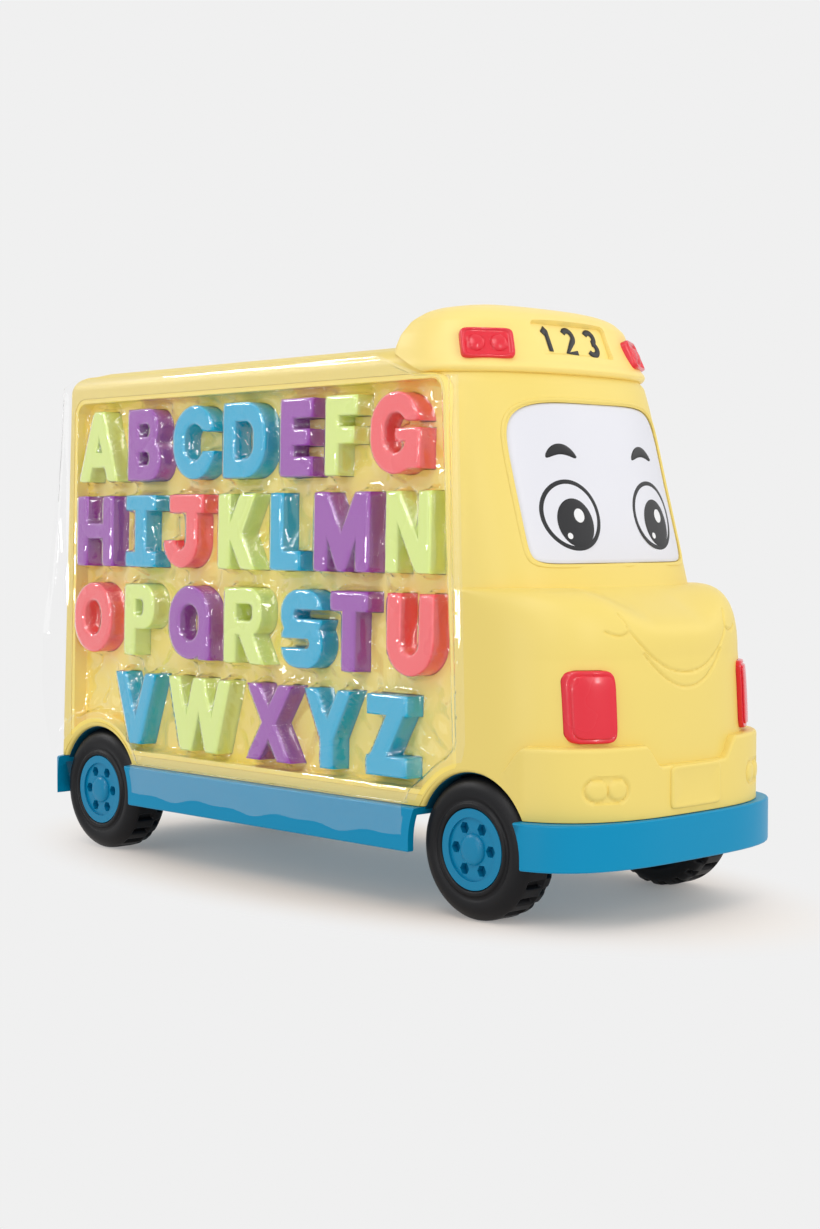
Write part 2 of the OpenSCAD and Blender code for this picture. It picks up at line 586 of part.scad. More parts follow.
// block with round corners on its right side only
module bowl(x0, y0, x1, y1, r) {
    bar(x0, y0, x1 - r, y1);
    bar(x0, y0 + r, x1, y1 - r);
    for (y = [y0 + r, y1 - r]) translate([x1 - r, y]) circle(r = r);
}
counter_share = 0.72;
thin_share = 0.85;
cross_share = 0.2;
notch_share = 0.42;
arm_share = 1.3;
leg_share = 1.2;
cross_arm_share = 1.1;
module glyph(k, w) {
    h = letter_height;
    s = stroke;
    t = s * thin_share;
    c = s * counter_share;
    if (k == 0) {
        slant(0, w / 2 - s / 2, s, 0, h);
        slant(w - s, w / 2 - s / 2, s, 0, h);
        bar(s, h * cross_share, w - s, h * cross_share + t);
    }
    if (k == 1) difference() {
        union() {
            bowl(0, 0, w, h / 2 + s / 4, h / 4);
            bowl(0, h / 2 - s / 4, w - s / 4, h, h / 4);
        }
        bowl(s, t, w - s, h / 2 - t / 2, s / 4);
        bowl(s, h / 2 + t / 2, w - s, h - t, s / 4);
    }
    if (k == 2 || k == 6) difference() {
        stadium(0, 0, w, h);
        stadium(s, s, w - s, h - s);
        bar(w / 2, h / 2 - (k == 2 ? s / 2 : 0), w + s, h - s - t / 2);
    }
    if (k == 3) difference() {
        bowl(0, 0, w, h, h / 2 - s / 4);
        bowl(s, s, w - s, h - s, h / 2 - s - s / 4);
    }
    if (k == 4 || k == 5) {
        bar(0, 0, s, h);
        bar(0, h - s, w, h);
        bar(0, h / 2 - t / 2, w - s / 4, h / 2 + t / 2);
        if (k == 4) bar(0, 0, w, s);
    }
    if (k == 6) {
        bar(w / 2, h / 2 - t / 2, w, h / 2 + t / 4);
        bar(w - s, s / 4, w, h / 2);
    }
    if (k == 7) {
        bar(0, 0, s, h);
        bar(w - s, 0, w, h);
        bar(0, h / 2 - t / 2, w, h / 2 + t / 2);
    }
    if (k == 8) {
        bar(w / 2 - s / 2, 0, w / 2 + s / 2, h);
        bar(0, 0, w, t);
        bar(0, h - t, w, h);
    }
    if (k == 9) {
        bar(s / 2, h - s, w, h);
        difference() {
            stadium(0, 0, w - s / 2, h);
            stadium(s, s, w - s / 2 - s, h);
            bar(-s, h / 2 - s / 2, w - s / 2 - s, h + s);
            bar(-s, h - s, w, h + s);
        }
    }
    if (k == 10) {
        bar(0, 0, s, h);
        slant(s / 2, w - s * arm_share, s * arm_share, h / 2 - s / 2, h);
        slant(w - s * leg_share, s / 2, s * leg_share, 0, h / 2 + s / 2);
    }
    if (k == 11) {
        bar(0, 0, s, h);
        bar(0, 0, w, s);
    }
    if (k == 12) difference() {
        bar(0, 0, w, h);
        polygon([[s, h + s / 8], [w - s, h + s / 8], [w / 2, h / 2]]);
        for (e = [0, 1]) translate([e * w, 0]) mirror([e, 0])
            polygon([[s, -s / 8], [s, h * notch_share], [w / 2 - s / 4, -s / 8]]);
    }
    if (k == 13) {
        bar(0, 0, t, h);
        bar(w - t, 0, w, h);
        polygon([[w - s, 0], [w, 0], [s, h], [0, h]]);
    }
    if (k == 14 || k == 16) difference() {
        stadium(0, 0, w, h);
        stadium(s, s, w - s, h - s);
    }
    if (k == 15 || k == 17) difference() {
        union() {
            bar(0, 0, s, h);
            bowl(0, h / 2 - s / 2, w - (k == 17 ? s / 4 : 0), h, h / 4);
            if (k == 17) slant(w - s * leg_share, s, s * leg_share, 0, h / 2);
        }
        bowl(s, h / 2 + s / 4, w - s, h - t, s / 4);
    }
    if (k == 16) bar(w - s, 0, w, s * leg_share);
    if (k == 18) difference() {
        union() {
            stadium(0, h / 2 - s / 2, w, h);
            stadium(0, 0, w, h / 2 + s / 2);
        }
        stadium(s, h / 2 + s / 2, w - s, h - s);
        stadium(s, s, w - s, h / 2 - s / 2);
        bar(w / 2, h / 2 + s / 2, w + s, h - s);
        bar(-s, s, w / 2, h / 2 - s / 2);
    }
    if (k == 19) {
        bar(w / 2 - s / 2, 0, w / 2 + s / 2, h);
        bar(0, h - s, w, h);
    }
    if (k == 20) difference() {
        union() {
            stadium(0, 0, w, h);
            bar(0, h / 2, w, h);
        }
        stadium(s, s, w - s, h);
        bar(s, h / 2, w - s, h + s);
    }
    if (k == 21) {
        slant(w / 2 - s / 2, 0, s, 0, h);
        slant(w / 2 - s / 2, w - s, s, 0, h);
    }
    if (k == 22) {
        slant(w / 4 - s / 4, 0, s, 0, h);
        slant(w / 4 - s / 4, w / 2 - s / 2, s, 0, h);
        slant(3 * w / 4 - 3 * s / 4, w / 2 - s / 2, s, 0, h);
        slant(3 * w / 4 - 3 * s / 4, w - s, s, 0, h);
    }
    if (k == 23) {
        slant(0, w - s * cross_arm_share, s * cross_arm_share, 0, h);
        slant(w - s * cross_arm_share, 0, s * cross_arm_share, 0, h);
    }
    if (k == 24) {
        bar(w / 2 - s / 2, 0, w / 2 + s / 2, h / 2);
        slant(w / 2 - s / 2, 0, s, h / 2 - s / 2, h);
        slant(w / 2 - s / 2, w - s, s, h / 2 - s / 2, h);
    }
    if (k == 25) {
        bar(0, h - s, w, h);
        bar(0, 0, w, s);
        slant(0, w - s * leg_share, s * leg_share, s / 2, h - s / 2);
    }
}
module place_letter(k) translate([letter_u(k), letter_v(k)]) glyph(k, letter_w(k));
module all_letters() for (k = [0:25]) place_letter(k);
module letter(k, tint) color(tint) on_side() tray_layer(letter_back, letter_front) place_letter(k);
module letter_a() letter(0, lime);
module letter_b() letter(1, purple);
module letter_c() letter(2, letter_blue);
module letter_d() letter(3, letter_blue);
module letter_e() letter(4, purple);
module letter_f() letter(5, lime);
module letter_g() letter(6, coral);
module letter_h() letter(7, purple);
module letter_i() letter(8, letter_blue);
module letter_j() letter(9, coral);
module letter_k() letter(10, lime);
module letter_l() letter(11, letter_blue);
module letter_m() letter(12, purple);
module letter_n() letter(13, lime);
module letter_o() letter(14, coral);
module letter_p() letter(15, lime);
module letter_q() letter(16, purple);
module letter_r() letter(17, lime);
module letter_s() letter(18, letter_blue);
module letter_t() letter(19, purple);
module letter_u_piece() letter(20, coral);
module letter_v_piece() letter(21, letter_blue);
module letter_w_piece() letter(22, lime);
module letter_x() letter(23, purple);
module letter_y() letter(24, letter_blue);
module letter_z() letter(25, letter_blue);

// switches behind the tray
mat_top = -15;
mat_thick = 1;
dome_foot = 5;
dome_top = 3.4;
dome_high = 2;
plunger = 2.4;
plunger_gap = 0.05;
board_thick = 1.6;
board_inset = tray_wall + seat_gap;
module switch_dome_mat() color(white) on_side() {
    tray_layer(mat_top - mat_thick, mat_top) tray_outline(-board_inset - overrun);
    for (k = [0:25]) at_dome(k, mat_top) {
        translate([0, 0, -fine_gap]) cylinder(r1 = dome_foot, r2 = dome_top, h = dome_high - seat_gap);
        cylinder(r = plunger, h = letter_back - plunger_gap - mat_top);
    }
}
module letter_switch_board() color(green) on_side()
    translate([0, 0, mat_top - mat_thick - plunger_gap - board_thick])
        linear_extrude(board_thick) tray_outline(-board_inset);

// clear cover over the letters
film = 0.5;
film_lift = 0.4;
film_pocket = 1.4;
film_head = 0.8;
film_drop = tray_deep - film_head;
film_foot = 1;
film_edge = 9;
film_rear = 10;
film_top = 9;
film_shoulder = visor_low - base_z - film_head;
flap_step = 4.2;
flap_low = -12;
flap_rear = -97.5;
flap_front = 79.5;
pocket_corner = 4;
module pocket(k, grow) offset(r = pocket_corner, $fn = 20) offset(delta = grow - pocket_corner)
    translate([letter_u(k) - film_pocket, letter_v(k) - film_pocket])
        square([letter_w(k) + 2 * film_pocket, letter_height + 2 * film_pocket]);
module pockets(grow) intersection() {
    for (k = [0:25]) pocket(k, grow);
    tray_outline(grow - tray_wall - film_head - film);
}
module cover_outline() difference() {
    offset(r = tray_corner, $fn = 32) offset(delta = -tray_corner)
        polygon([[tray_rear - film_rear, film_foot], [tray_front_low + film_edge, film_foot],
            [tray_front_high + film_edge, film_shoulder], [visor_lip_x - film_pocket, film_shoulder],
            [visor_tail - film_pocket, tray_high + film_top],
            [tray_rear - film_rear, tray_high + film_top]]);
    for (x = [front_axle_x, rear_axle_x]) translate([x, axle_z - base_z])
        circle(r = arch_radius + 2 * tub_wall + arch_clear, $fn = 72);
}
module clear_cover() color(clear) on_side() {
    tray_layer(film_lift, film_lift + film) difference() {
        cover_outline();
        tray_outline(-tray_wall - film_head - film);
    }
    tray_layer(-film_drop, film_lift + film) difference() {
        tray_outline(-tray_wall - film_head);
        tray_outline(-tray_wall - film_head - film);
    }
    tray_layer(-film_drop, -film_drop + film) difference() {
        tray_outline(-tray_wall - film_head - film / 2);
        pockets(0);
    }
    tray_layer(-film_drop, letter_front + film_head + film) difference() {
        pockets(film);
        pockets(0);
    }
    tray_layer(letter_front + film_head, letter_front + film_head + film) pockets(film / 2);
    translate([flap_rear, flap_low, flap_step])
        cube([flap_front - flap_rear, film_foot - flap_low + film, film]);
    translate([flap_rear, film_foot, film_lift])
        cube([flap_front - flap_rear, film, flap_step - film_lift + film / 2]);
}

// chassis
bumper_nose = 169;
bumper_depth = 46;
bumper_power = 3.2;
bumper_half = 70;
bumper_tail = -169;
bumper_tail_depth = 18;
skirt_inset = 1;
plate_top = base_z - seat_gap;
wheel_face = 64.5;
notch_in = 38.5;
tub_out = 56;
post_thick = 6;
post_wide = 12;
post_low = 21.5;
bearing_gap = 0.08;
post_y = 30;
cell_radius = 7.1;
cell_long = 50.5;
cell_pitch = 15.2;
box_half_x = 32;
box_half_y = 25;
box_wall = 2;
box_high = 55.4;
cell_z = 47.7;
door_thick = 2;
door_gap = 0.3;
door_screw_x = -27.2;
door_post = 2.6;
door_boss = 4.2;
door_boss_high = 3.2;
screw_shank = 1.4;
screw_head = 2.8;
screw_head_high = 1.8;
screw_sunk = screw_head_high + fine_gap;
screw_top = 52;
speaker_x = 70;
speaker_radius = 18;
speaker_high = 10;
grille_radius = 1.6;
grille_pitch = 6;
grille_reach = 2.4;
switch_x = -68;
switch_clear = 0.5;
switch_lift = 1.2;
switch_box = [32, 13, 7];
switch_post = 3;
knob_size = [10, 6];
knob_low = 38.2;
knob_flange_thick = 1.6;
knob_flange = [switch_box[0] - 2 * switch_post - switch_travel - 2 * switch_clear, 11];
switch_slot = [knob_size[0] + switch_travel + 2 * switch_clear, knob_size[1] + 2 * switch_clear];
board_size = [62, 46];
board_z = 59;
board_pin = 1.2;
pin_inset = 4;
chip_size = [10, 10, 1.6];
module bumper_outline(grow) polygon(outline(bumper_nose + grow, bumper_depth + grow, bumper_half + grow,
    bumper_tail - grow, bumper_tail_depth + grow, bumper_power));
module plate_hole(size, r) translate([0, 0, plate_top - floor_plate - overrun])
    rounded_plate(size, r, floor_plate + 2 * overrun);
module skirt_body(low, high) translate([0, 0, low]) linear_extrude(high - low) difference() {
    bumper_outline(0);
    for (i = [-1, 1]) translate([rear_axle_x, i * (bumper_half + far / 2 - skirt_inset) - far / 2])
        square([wheelbase, far]);
}
module at_pins(z) for (i = [-1, 1], j = [-1, 1])
    translate([i * (board_size[0] / 2 - pin_inset), j * (board_size[1] / 2 - pin_inset), z]) children();
module chassis_base() color(blue) difference() {
    union() {
        difference() {
            skirt_body(skirt_bottom, plate_top);
            translate([0, 0, skirt_bottom - overrun])
                linear_extrude(plate_top - floor_plate - skirt_bottom + overrun)
                    bumper_outline(-skirt_wall - skirt_inset);
        }
        translate([-box_half_x - box_wall, -box_half_y - box_wall, plate_top - floor_plate])
            cube([2 * (box_half_x + box_wall), 2 * (box_half_y + box_wall),
                box_high + box_wall - plate_top + floor_plate]);
        both_sides() at_wheels() intersection() {
            along_y(arch_radius + tub_wall, notch_in - tub_wall, tub_out);
            translate([-far / 2, 0, plate_top - floor_plate / 2 - axle_z]) cube(far);
        }
        both_sides() at_wheels() translate([-post_wide / 2, post_y, post_low - axle_z])
            cube([post_wide, post_thick, plate_top - post_low - floor_plate / 2]);
        translate([speaker_x, 0, plate_top - overrun]) difference() {
            cylinder(r = speaker_radius + box_wall + seat_gap, h = speaker_high / 2 + overrun);
            cylinder(r = speaker_radius + seat_gap, h = speaker_high + overrun);
        }
        for (i = [-1, 1]) translate([switch_x + i * (switch_box[0] - switch_post) / 2 - switch_post / 2,
            -switch_post / 2, plate_top - overrun])
            cube([switch_post, switch_post, overrun + knob_flange_thick + switch_lift]);
        at_pins(box_high) {
            cylinder(r = 2 * board_pin, h = board_z - box_high - plunger_gap);
            cylinder(r = board_pin, h = board_z - box_high + 2 * board_thick);
        }
    }
    both_sides() at_wheels() {
        along_y(arch_radius, notch_in, far);
        translate([-arch_radius, notch_in, -far]) cube([2 * arch_radius, far, far]);
    }
    at_wheels() along_y(axle_radius + bearing_gap, -half_width, half_width);
    difference() {
        translate([-box_half_x, -box_half_y, plate_top - floor_plate - overrun])
            cube([2 * box_half_x, 2 * box_half_y, box_high - plate_top + floor_plate + overrun]);
        translate([door_screw_x, 0, plate_top - floor_plate + door_boss_high + door_gap])
            cylinder(r = door_post, h = box_high);
    }
    translate([door_screw_x, 0, plate_top - floor_plate])
        cylinder(r = screw_shank + fine_gap / 2, h = screw_top - plate_top + floor_plate);
    for (i = [-2:2], j = [-2:2]) if (norm([i, j]) < grille_reach)
        translate([speaker_x + i * grille_pitch, j * grille_pitch, plate_top - floor_plate - overrun])
            cylinder(r = grille_radius, h = floor_plate + 2 * overrun);
    translate([switch_x, 0, 0]) plate_hole(switch_slot, grille_radius);
    for (p = boss_spots) translate([p[0], p[1], skirt_bottom]) {
        cylinder(r = screw_shank + seat_gap, h = far);
        cylinder(r = screw_head + seat_gap, h = plate_top - floor_plate + screw_sunk - skirt_bottom);
    }
}

// wheels
tread_shoulder = 3;
notch_wide = 3.2;
notch_long = 6.5;
notch_deep = 2;
bead_inset = 1.2;
hub_gap = 0.05;
hub_wide = 13;
hub_sunk = 0.6;
hub_step = 1;
hub_disc = 12.2;
hub_dome = 5.7;
hub_dome_high = 1.4;
hub_hole = 2.4;
hub_hole_ring = 9;
hub_hole_deep = 3.5;
hub_bore_gap = 0.03;
hub_bore_deep = 9;
dome_ball = 12.3;
axle_half = 59;
module wheel_frame(x, side) translate([x, side * wheel_face, axle_z]) rotate([-90 * side, 0, 0]) children();
// tyre and hub are drawn with their outer face at z = 0 and their inner side below
module tyre(x, side) color(black) wheel_frame(x, side) difference() {
    rotate_extrude() polygon([[hub_radius + hub_gap, -bead_inset], [hub_radius + 2 * bead_inset, 0],
        [tyre_radius - tread_shoulder, -bead_inset], [tyre_radius, -tread_shoulder - bead_inset],
        [tyre_radius, -tyre_width + tread_shoulder + bead_inset],
        [tyre_radius - tread_shoulder, -tyre_width + bead_inset],
        [hub_radius + 2 * bead_inset, -tyre_width], [hub_radius + hub_gap, -tyre_width + bead_inset]]);
    for (i = [0:tread_notches - 1], e = [0, 1]) rotate([0, 0, 360 * (i + e / 2) / tread_notches])
        translate([tyre_radius - notch_deep, -notch_wide / 2, e ? -tyre_width - overrun : -notch_long])
            cube([notch_deep + overrun, notch_wide, notch_long + overrun]);
}
module hub_cap() intersection() {
    translate([0, 0, hub_dome_high - hub_sunk - hub_step - dome_ball]) sphere(r = dome_ball);
    translate([0, 0, -hub_wide / 2]) cylinder(r = hub_dome, h = hub_wide);
}
module hub(x, side) color(blue) wheel_frame(x, side) difference() {
    union() {
        translate([0, 0, -hub_wide - hub_sunk]) cylinder(r = hub_radius, h = hub_wide);
        hub_cap();
    }
    difference() {
        translate([0, 0, -hub_sunk - hub_step]) cylinder(r = hub_disc, h = hub_wide);
        hub_cap();
    }
    for (i = [0:5]) rotate([0, 0, 60 * i]) translate([hub_hole_ring, 0, -hub_hole_deep - hub_step])
        cylinder(r = hub_hole, h = hub_hole_deep + hub_wide, $fn = 6);
    translate([0, 0, -hub_wide - hub_sunk - overrun])
        cylinder(r = axle_radius + hub_bore_gap, h = hub_bore_deep + overrun);
}
module axle(x) color(steel) translate([x, 0, axle_z]) along_y(axle_radius, -axle_half, axle_half);
module front_axle() axle(front_axle_x);
module rear_axle() axle(rear_axle_x);
module tyre_front_right() tyre(front_axle_x, -1);
module tyre_front_left() tyre(front_axle_x, 1);
module tyre_rear_right() tyre(rear_axle_x, -1);
module tyre_rear_left() tyre(rear_axle_x, 1);
module hub_front_right() hub(front_axle_x, -1);
module hub_front_left() hub(front_axle_x, 1);
module hub_rear_right() hub(rear_axle_x, -1);
module hub_rear_left() hub(rear_axle_x, 1);

// power and sound
door_z = plate_top - floor_plate;
contact_thick = 1;
contact_wide = 10;
module battery_door() color(blue) difference() {
    union() {
        translate([-box_half_x + door_gap, -box_half_y + door_gap, door_z])
            cube([2 * (box_half_x - door_gap), 2 * (box_half_y - door_gap), door_thick]);
        translate([door_screw_x, 0, door_z]) cylinder(r = door_boss, h = door_boss_high);
    }
    translate([door_screw_x, 0, door_z - overrun]) {
        cylinder(r = screw_shank + seat_gap, h = door_boss_high + 2 * overrun);
        cylinder(r = screw_head + seat_gap, h = overrun + screw_sunk);
    }
}
module screw(shank, head, high, tip, foot) {
    translate([0, 0, foot]) cylinder(r = shank, h = tip - foot);
    translate([0, 0, foot - high]) difference() {
        cylinder(r = head, h = high);
        for (a = [0, 90]) rotate([0, 0, a]) translate([-head / 2, -head / 8, -high / 2])
            cube([head, head / 4, high]);
    }
}
door_screw_tip = 50;
module battery_door_screw() color(steel) translate([door_screw_x, 0, 0])
    screw(screw_shank, screw_head, screw_head_high, door_screw_tip, door_z + screw_sunk);
cell_shift = 3;
module batteries() color(black) for (i = [-1:1])
    translate([cell_shift - cell_long / 2, i * cell_pitch, cell_z])
        rotate([0, 90, 0]) cylinder(r = cell_radius, h = cell_long);
module battery_contacts() color(steel) for (i = [-1:1], e = [-1, 1])
    translate([cell_shift + e * (cell_long / 2 + contact_thick / 2 + fine_gap) - contact_thick / 2,
        i * cell_pitch - contact_wide / 2, cell_z - contact_wide / 2])
        cube([contact_thick, contact_wide, box_high - cell_z + contact_wide / 2 - fine_gap / 2]);
cone_deep = 4;
module speaker() color(black) translate([speaker_x, 0, plate_top + fine_gap / 2]) difference() {
    cylinder(r = speaker_radius, h = speaker_high);
    translate([0, 0, -fine_gap])
        cylinder(r1 = speaker_radius - box_wall, r2 = speaker_radius / 3, h = cone_deep);
}
module main_circuit_board() color(green) difference() {
    union() {
        translate([0, 0, board_z]) rounded_plate(board_size, board_pin, board_thick);
        translate([-chip_size[0] / 2, -chip_size[1] / 2, board_z + board_thick - fine_gap])
            cube([chip_size[0], chip_size[1], chip_size[2] + fine_gap]);
    }
    at_pins(board_z - overrun) cylinder(r = board_pin + fine_gap, h = board_thick + 2 * overrun);
}
module power_switch_knob() color(black) translate([switch_x - switch_travel / 2, 0, 0]) {
    translate([-knob_size[0] / 2, -knob_size[1] / 2, knob_low])
        cube([knob_size[0], knob_size[1], plate_top + seat_gap - knob_low + overrun]);
    translate([-knob_flange[0] / 2, -knob_flange[1] / 2, plate_top + seat_gap])
        cube([knob_flange[0], knob_flange[1], knob_flange_thick]);
}
module power_switch_body() color(white) translate([switch_x - switch_box[0] / 2, -switch_box[1] / 2,
    plate_top + knob_flange_thick + switch_lift + plunger_gap]) cube(switch_box);

// headlamp switches: upright boards that stand on the floor plate
lamp_board_x = 139.6;
lamp_board_wide = 12;
lamp_board_top = 92;
tact = 4;
module lamp_board() {
    translate([lamp_board_x, lamp_y - lamp_board_wide / 2, plate_top + plunger_gap])
        cube([board_thick, lamp_board_wide, lamp_board_top - plate_top]);
    translate([lamp_board_x + board_thick / 2, lamp_y - tact / 2, lamp_z - tact / 2])
        cube([lamp_stem_x - lamp_travel - seat_gap - lamp_board_x - board_thick / 2, tact, tact]);
}
module headlamp_switch_boards() color(green) both_sides() lamp_board();

// fasteners
module body_screws() color(steel) for (p = boss_spots) translate([p[0], p[1], 0])
    screw(screw_shank, screw_head, screw_head_high, screw_top, plate_top - floor_plate + screw_sunk);
tray_screw_shank = 0.95;
tray_screw_head = 2.2;
tray_screw_tip = 3.8;
module tray_screws() color(steel) on_side() for (p = tray_spots) translate([p[0], p[1], 0])
    screw(tray_screw_shank, tray_screw_head, screw_head_high, -tray_screw_tip,
        -tray_boss_deep - fine_gap - ear_thick);

body_shell();
roof_visor();
letter_tray();
chassis_base();
windscreen_panel();
headlamp_button_right();
headlamp_button_left();
roof_lamp_right();
roof_lamp_left();
tyre_front_right();
tyre_front_left();
tyre_rear_right();
tyre_rear_left();
hub_front_right();
hub_front_left();
hub_rear_right();
hub_rear_left();
front_axle();
rear_axle();
battery_door();
battery_door_screw();
batteries();
battery_contacts();
speaker();
main_circuit_board();
power_switch_body();
power_switch_knob();
letter_switch_board();
switch_dome_mat();
headlamp_switch_boards();
clear_cover();
body_screws();
tray_screws();
letter_a();
letter_b();
letter_c();
letter_d();
letter_e();
letter_f();
letter_g();
letter_h();
letter_i();
letter_j();
letter_k();
letter_l();
letter_m();
letter_n();
letter_o();
letter_p();
letter_q();
letter_r();
letter_s();
letter_t();
letter_u_piece();  // letter_u
letter_v_piece();  // letter_v
letter_w_piece();  // letter_w
letter_x();
letter_y();
letter_z();
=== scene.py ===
"""Looks of a toy bus with press-in letters: surfaces, finishes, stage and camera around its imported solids."""
import json
import math

import bmesh
import bpy
import numpy as np
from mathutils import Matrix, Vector


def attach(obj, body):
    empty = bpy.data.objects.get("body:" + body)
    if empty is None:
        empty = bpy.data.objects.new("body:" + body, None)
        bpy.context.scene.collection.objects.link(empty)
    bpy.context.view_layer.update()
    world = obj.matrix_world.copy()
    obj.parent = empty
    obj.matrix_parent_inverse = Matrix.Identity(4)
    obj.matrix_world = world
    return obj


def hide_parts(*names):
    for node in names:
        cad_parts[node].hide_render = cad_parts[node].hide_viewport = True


bl_info = {
    "name": "Toy bus",
    "version": (1, 0, 0),
    "blender": (4, 5, 0),
    "location": "3D View > Sidebar > Toy bus",
    "description": "Builds the shell, wheels, letters and clear cover of a toy bus over its solids",
    "category": "Add Mesh",
}

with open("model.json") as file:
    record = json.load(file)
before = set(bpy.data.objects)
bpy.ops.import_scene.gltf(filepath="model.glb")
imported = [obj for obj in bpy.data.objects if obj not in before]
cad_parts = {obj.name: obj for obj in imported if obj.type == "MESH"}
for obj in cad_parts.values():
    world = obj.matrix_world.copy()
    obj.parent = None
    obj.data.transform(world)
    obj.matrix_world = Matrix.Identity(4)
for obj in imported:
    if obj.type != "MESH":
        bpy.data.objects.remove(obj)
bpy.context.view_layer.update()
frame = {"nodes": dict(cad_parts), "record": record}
RECORD = frame["record"]
NODE_BODY = {n: b for b, nodes in RECORD["behaviour"]["bodies"].items() for n in nodes}
NODE_SLOT = {p["node"]: p["material_slot"] for p in RECORD["subparts"]}
LETTERS = [n for n in sorted(NODE_BODY) if n.startswith("letter_") and len(n) == len("letter_a")]
SIDES = ((-1, "right"), (1, "left"))
MM = 0.001

# Body form, in millimetres
BASE_Z, ROOF_Z = 41.3, 221.0
HALF_WIDTH, SIDE_LEAN = 65.0, math.radians(1.4)
NOSE_X, NOSE_ROUND = 165.0, 50.0
REAR_X, REAR_LEAN, REAR_DEPTH = -168.0, 0.021, 14.0
FRONT_POWER, REAR_POWER = 2.5, 2.6
WALL, ROOF_RADIUS = 2.8, 8.0
CROWN_INSET, CROWN_CENTRE, CROWN_DROP, CROWN_LIFT, ROOF_REAR = 24.0, 36.0, 0.6, 0.6, 1.6
BODY_HIGH = ROOF_Z - BASE_Z
LOW_SHARES = np.array([[0, 0, 1], [0.16, 0.008, 1], [0.27, 0.028, 1], [0.327, 0.048, 1]])
CAB_SHARES = np.array([[0.471, 0.574, 0.89], [0.516, 0.62, 0.88], [0.694, 0.8, 0.868],
                       [0.872, 0.97, 0.852], [0.917, 1.03, 0.84]])
ROOF_SHARES = np.array([0.944, 1.13, 0.84])
DIP_LOW, DIP_HIGH, CHEEK_LOW, CHEEK_HIGH = 114.0, 112.6, 121.0, 127.5
DIP_ALONG, CHEEK_ALONG, DIP_FROM, DIP_TO = 0.06, 0.34, 0.2, 0.62
WALL_FROM, WALL_OVER, BACK_FROM, BACK_OVER = 0.86, 0.12, 20.0, 120.0
MOUTH_HALF, MOUTH_LOW, MOUTH_RISE, MOUTH_POWER = 29.0, 94.2, 16.3, 2.2
LIP_HALF, LIP_LOW, LIP_RISE, LINE_WIDTH = 23.0, 88.6, 13.2, 0.38
TICK_Y, TICK_Z, TICK_LONG, TICK_BOW = 28.5, 110.3, 10.0, 1.6
HOOK_Y, HOOK_Z, HOOK_OUT, HOOK_TALL = 29.0, 110.4, 2.6, 6.2

# Wheels and openings, in millimetres
AXLES_X, AXLE_Z = (111.0, -129.0), 27.5
TYRE_RADIUS, TYRE_WIDTH, WHEEL_FACE, HUB_RADIUS = 27.5, 21.0, 64.5, 15.5
ARCH_RADIUS, TUB_IN, TUB_WALL = 29.2, 38.0, 1.6
FILM_ARCH = ARCH_RADIUS + 2 * TUB_WALL + 0.5
TRAY = np.array([[-150.5, 4.5], [104.5, 4.5], [93.5, 166.9], [-150.5, 166.9]])
TRAY_CORNER, TRAY_DEEP, TRAY_FOOT = 8.0, 7.0, 18.5
LETTER_FRONT = 2.0
SCREEN_HALF, SCREEN_LOW, SCREEN_HIGH = 45.4, 134.9, 197.3
LAMP_Y, LAMP_Z, LAMP_WIDE, LAMP_TALL, LAMP_BACK = 45.6, 83.0, 15.6, 26.8, 146.0
VISOR_LOW, VISOR_TOP, VISOR_NOSE, VISOR_DEPTH = 208.5, 237.0, 114.5, 44.0
VISOR_HALF, VISOR_TAIL, VISOR_TAIL_DEPTH, VISOR_LIP_X = 63.2, 57.0, 12.0, 82.0
VISOR_SHARES = np.array([
    [0, 0.03, 0.98, 0.99, 0, 1], [0.105, 0.03, 0.98, 0.99, 0, 1], [0.165, 0.075, 0.945, 0.978, 0, 0.917],
    [0.368, 0.16, 0.87, 0.956, 0.023, 0.833], [0.544, 0.215, 0.815, 0.928, 0.08, 0.667],
    [0.737, 0.265, 0.71, 0.872, 0.17, 0.542], [0.874, 0.36, 0.55, 0.775, 0.273, 0.417],
    [0.958, 0.49, 0.355, 0.63, 0.364, 0.292], [1, 0.64, 0.165, 0.437, 0.443, 0.167]])
SIGN_AT, SIGN_LEAN, SIGN_SIZE, SIGN_DEEP = (103.6, 0.0, 222.8), math.radians(24), (14.0, 43.0), 0.9
ROOF_LAMP_AT, ROOF_LAMP_SIZE = (98.6, 43.2, 219.0), (12.8, 21.4)
ROOF_LAMP_TURN, ROOF_LAMP_LEAN = math.radians(31), math.radians(24)
FASCIA_PROUD, FASCIA_POWER = 2.2, 3.0
FASCIA_HIGH, FASCIA_LOW, FASCIA_OUT, FASCIA_IN = 68.4, 60.2, 28.0, 19.0
FASCIA_REAR = 125.0
FOG_Y, FOG_Z, FOG_RADIUS, FOG_DOME, FOG_DEEP = 44.2, 52.8, 4.6, 3.9, 0.8
PLATE_HALF, PLATE_LOW, PLATE_HIGH, PLATE_X = 15.0, 43.6, 59.8, 168.2


def colour_setting(label, use, value):
    """A colour that a user can change."""
    return bpy.props.FloatVectorProperty(name=label, description=use, default=value, min=0, max=1, size=3,
                                         subtype="COLOR")


def length_setting(label, use, value):
    """A length in metres that a user can change."""
    return bpy.props.FloatProperty(name=label, description=use, default=value, min=0, unit="LENGTH")


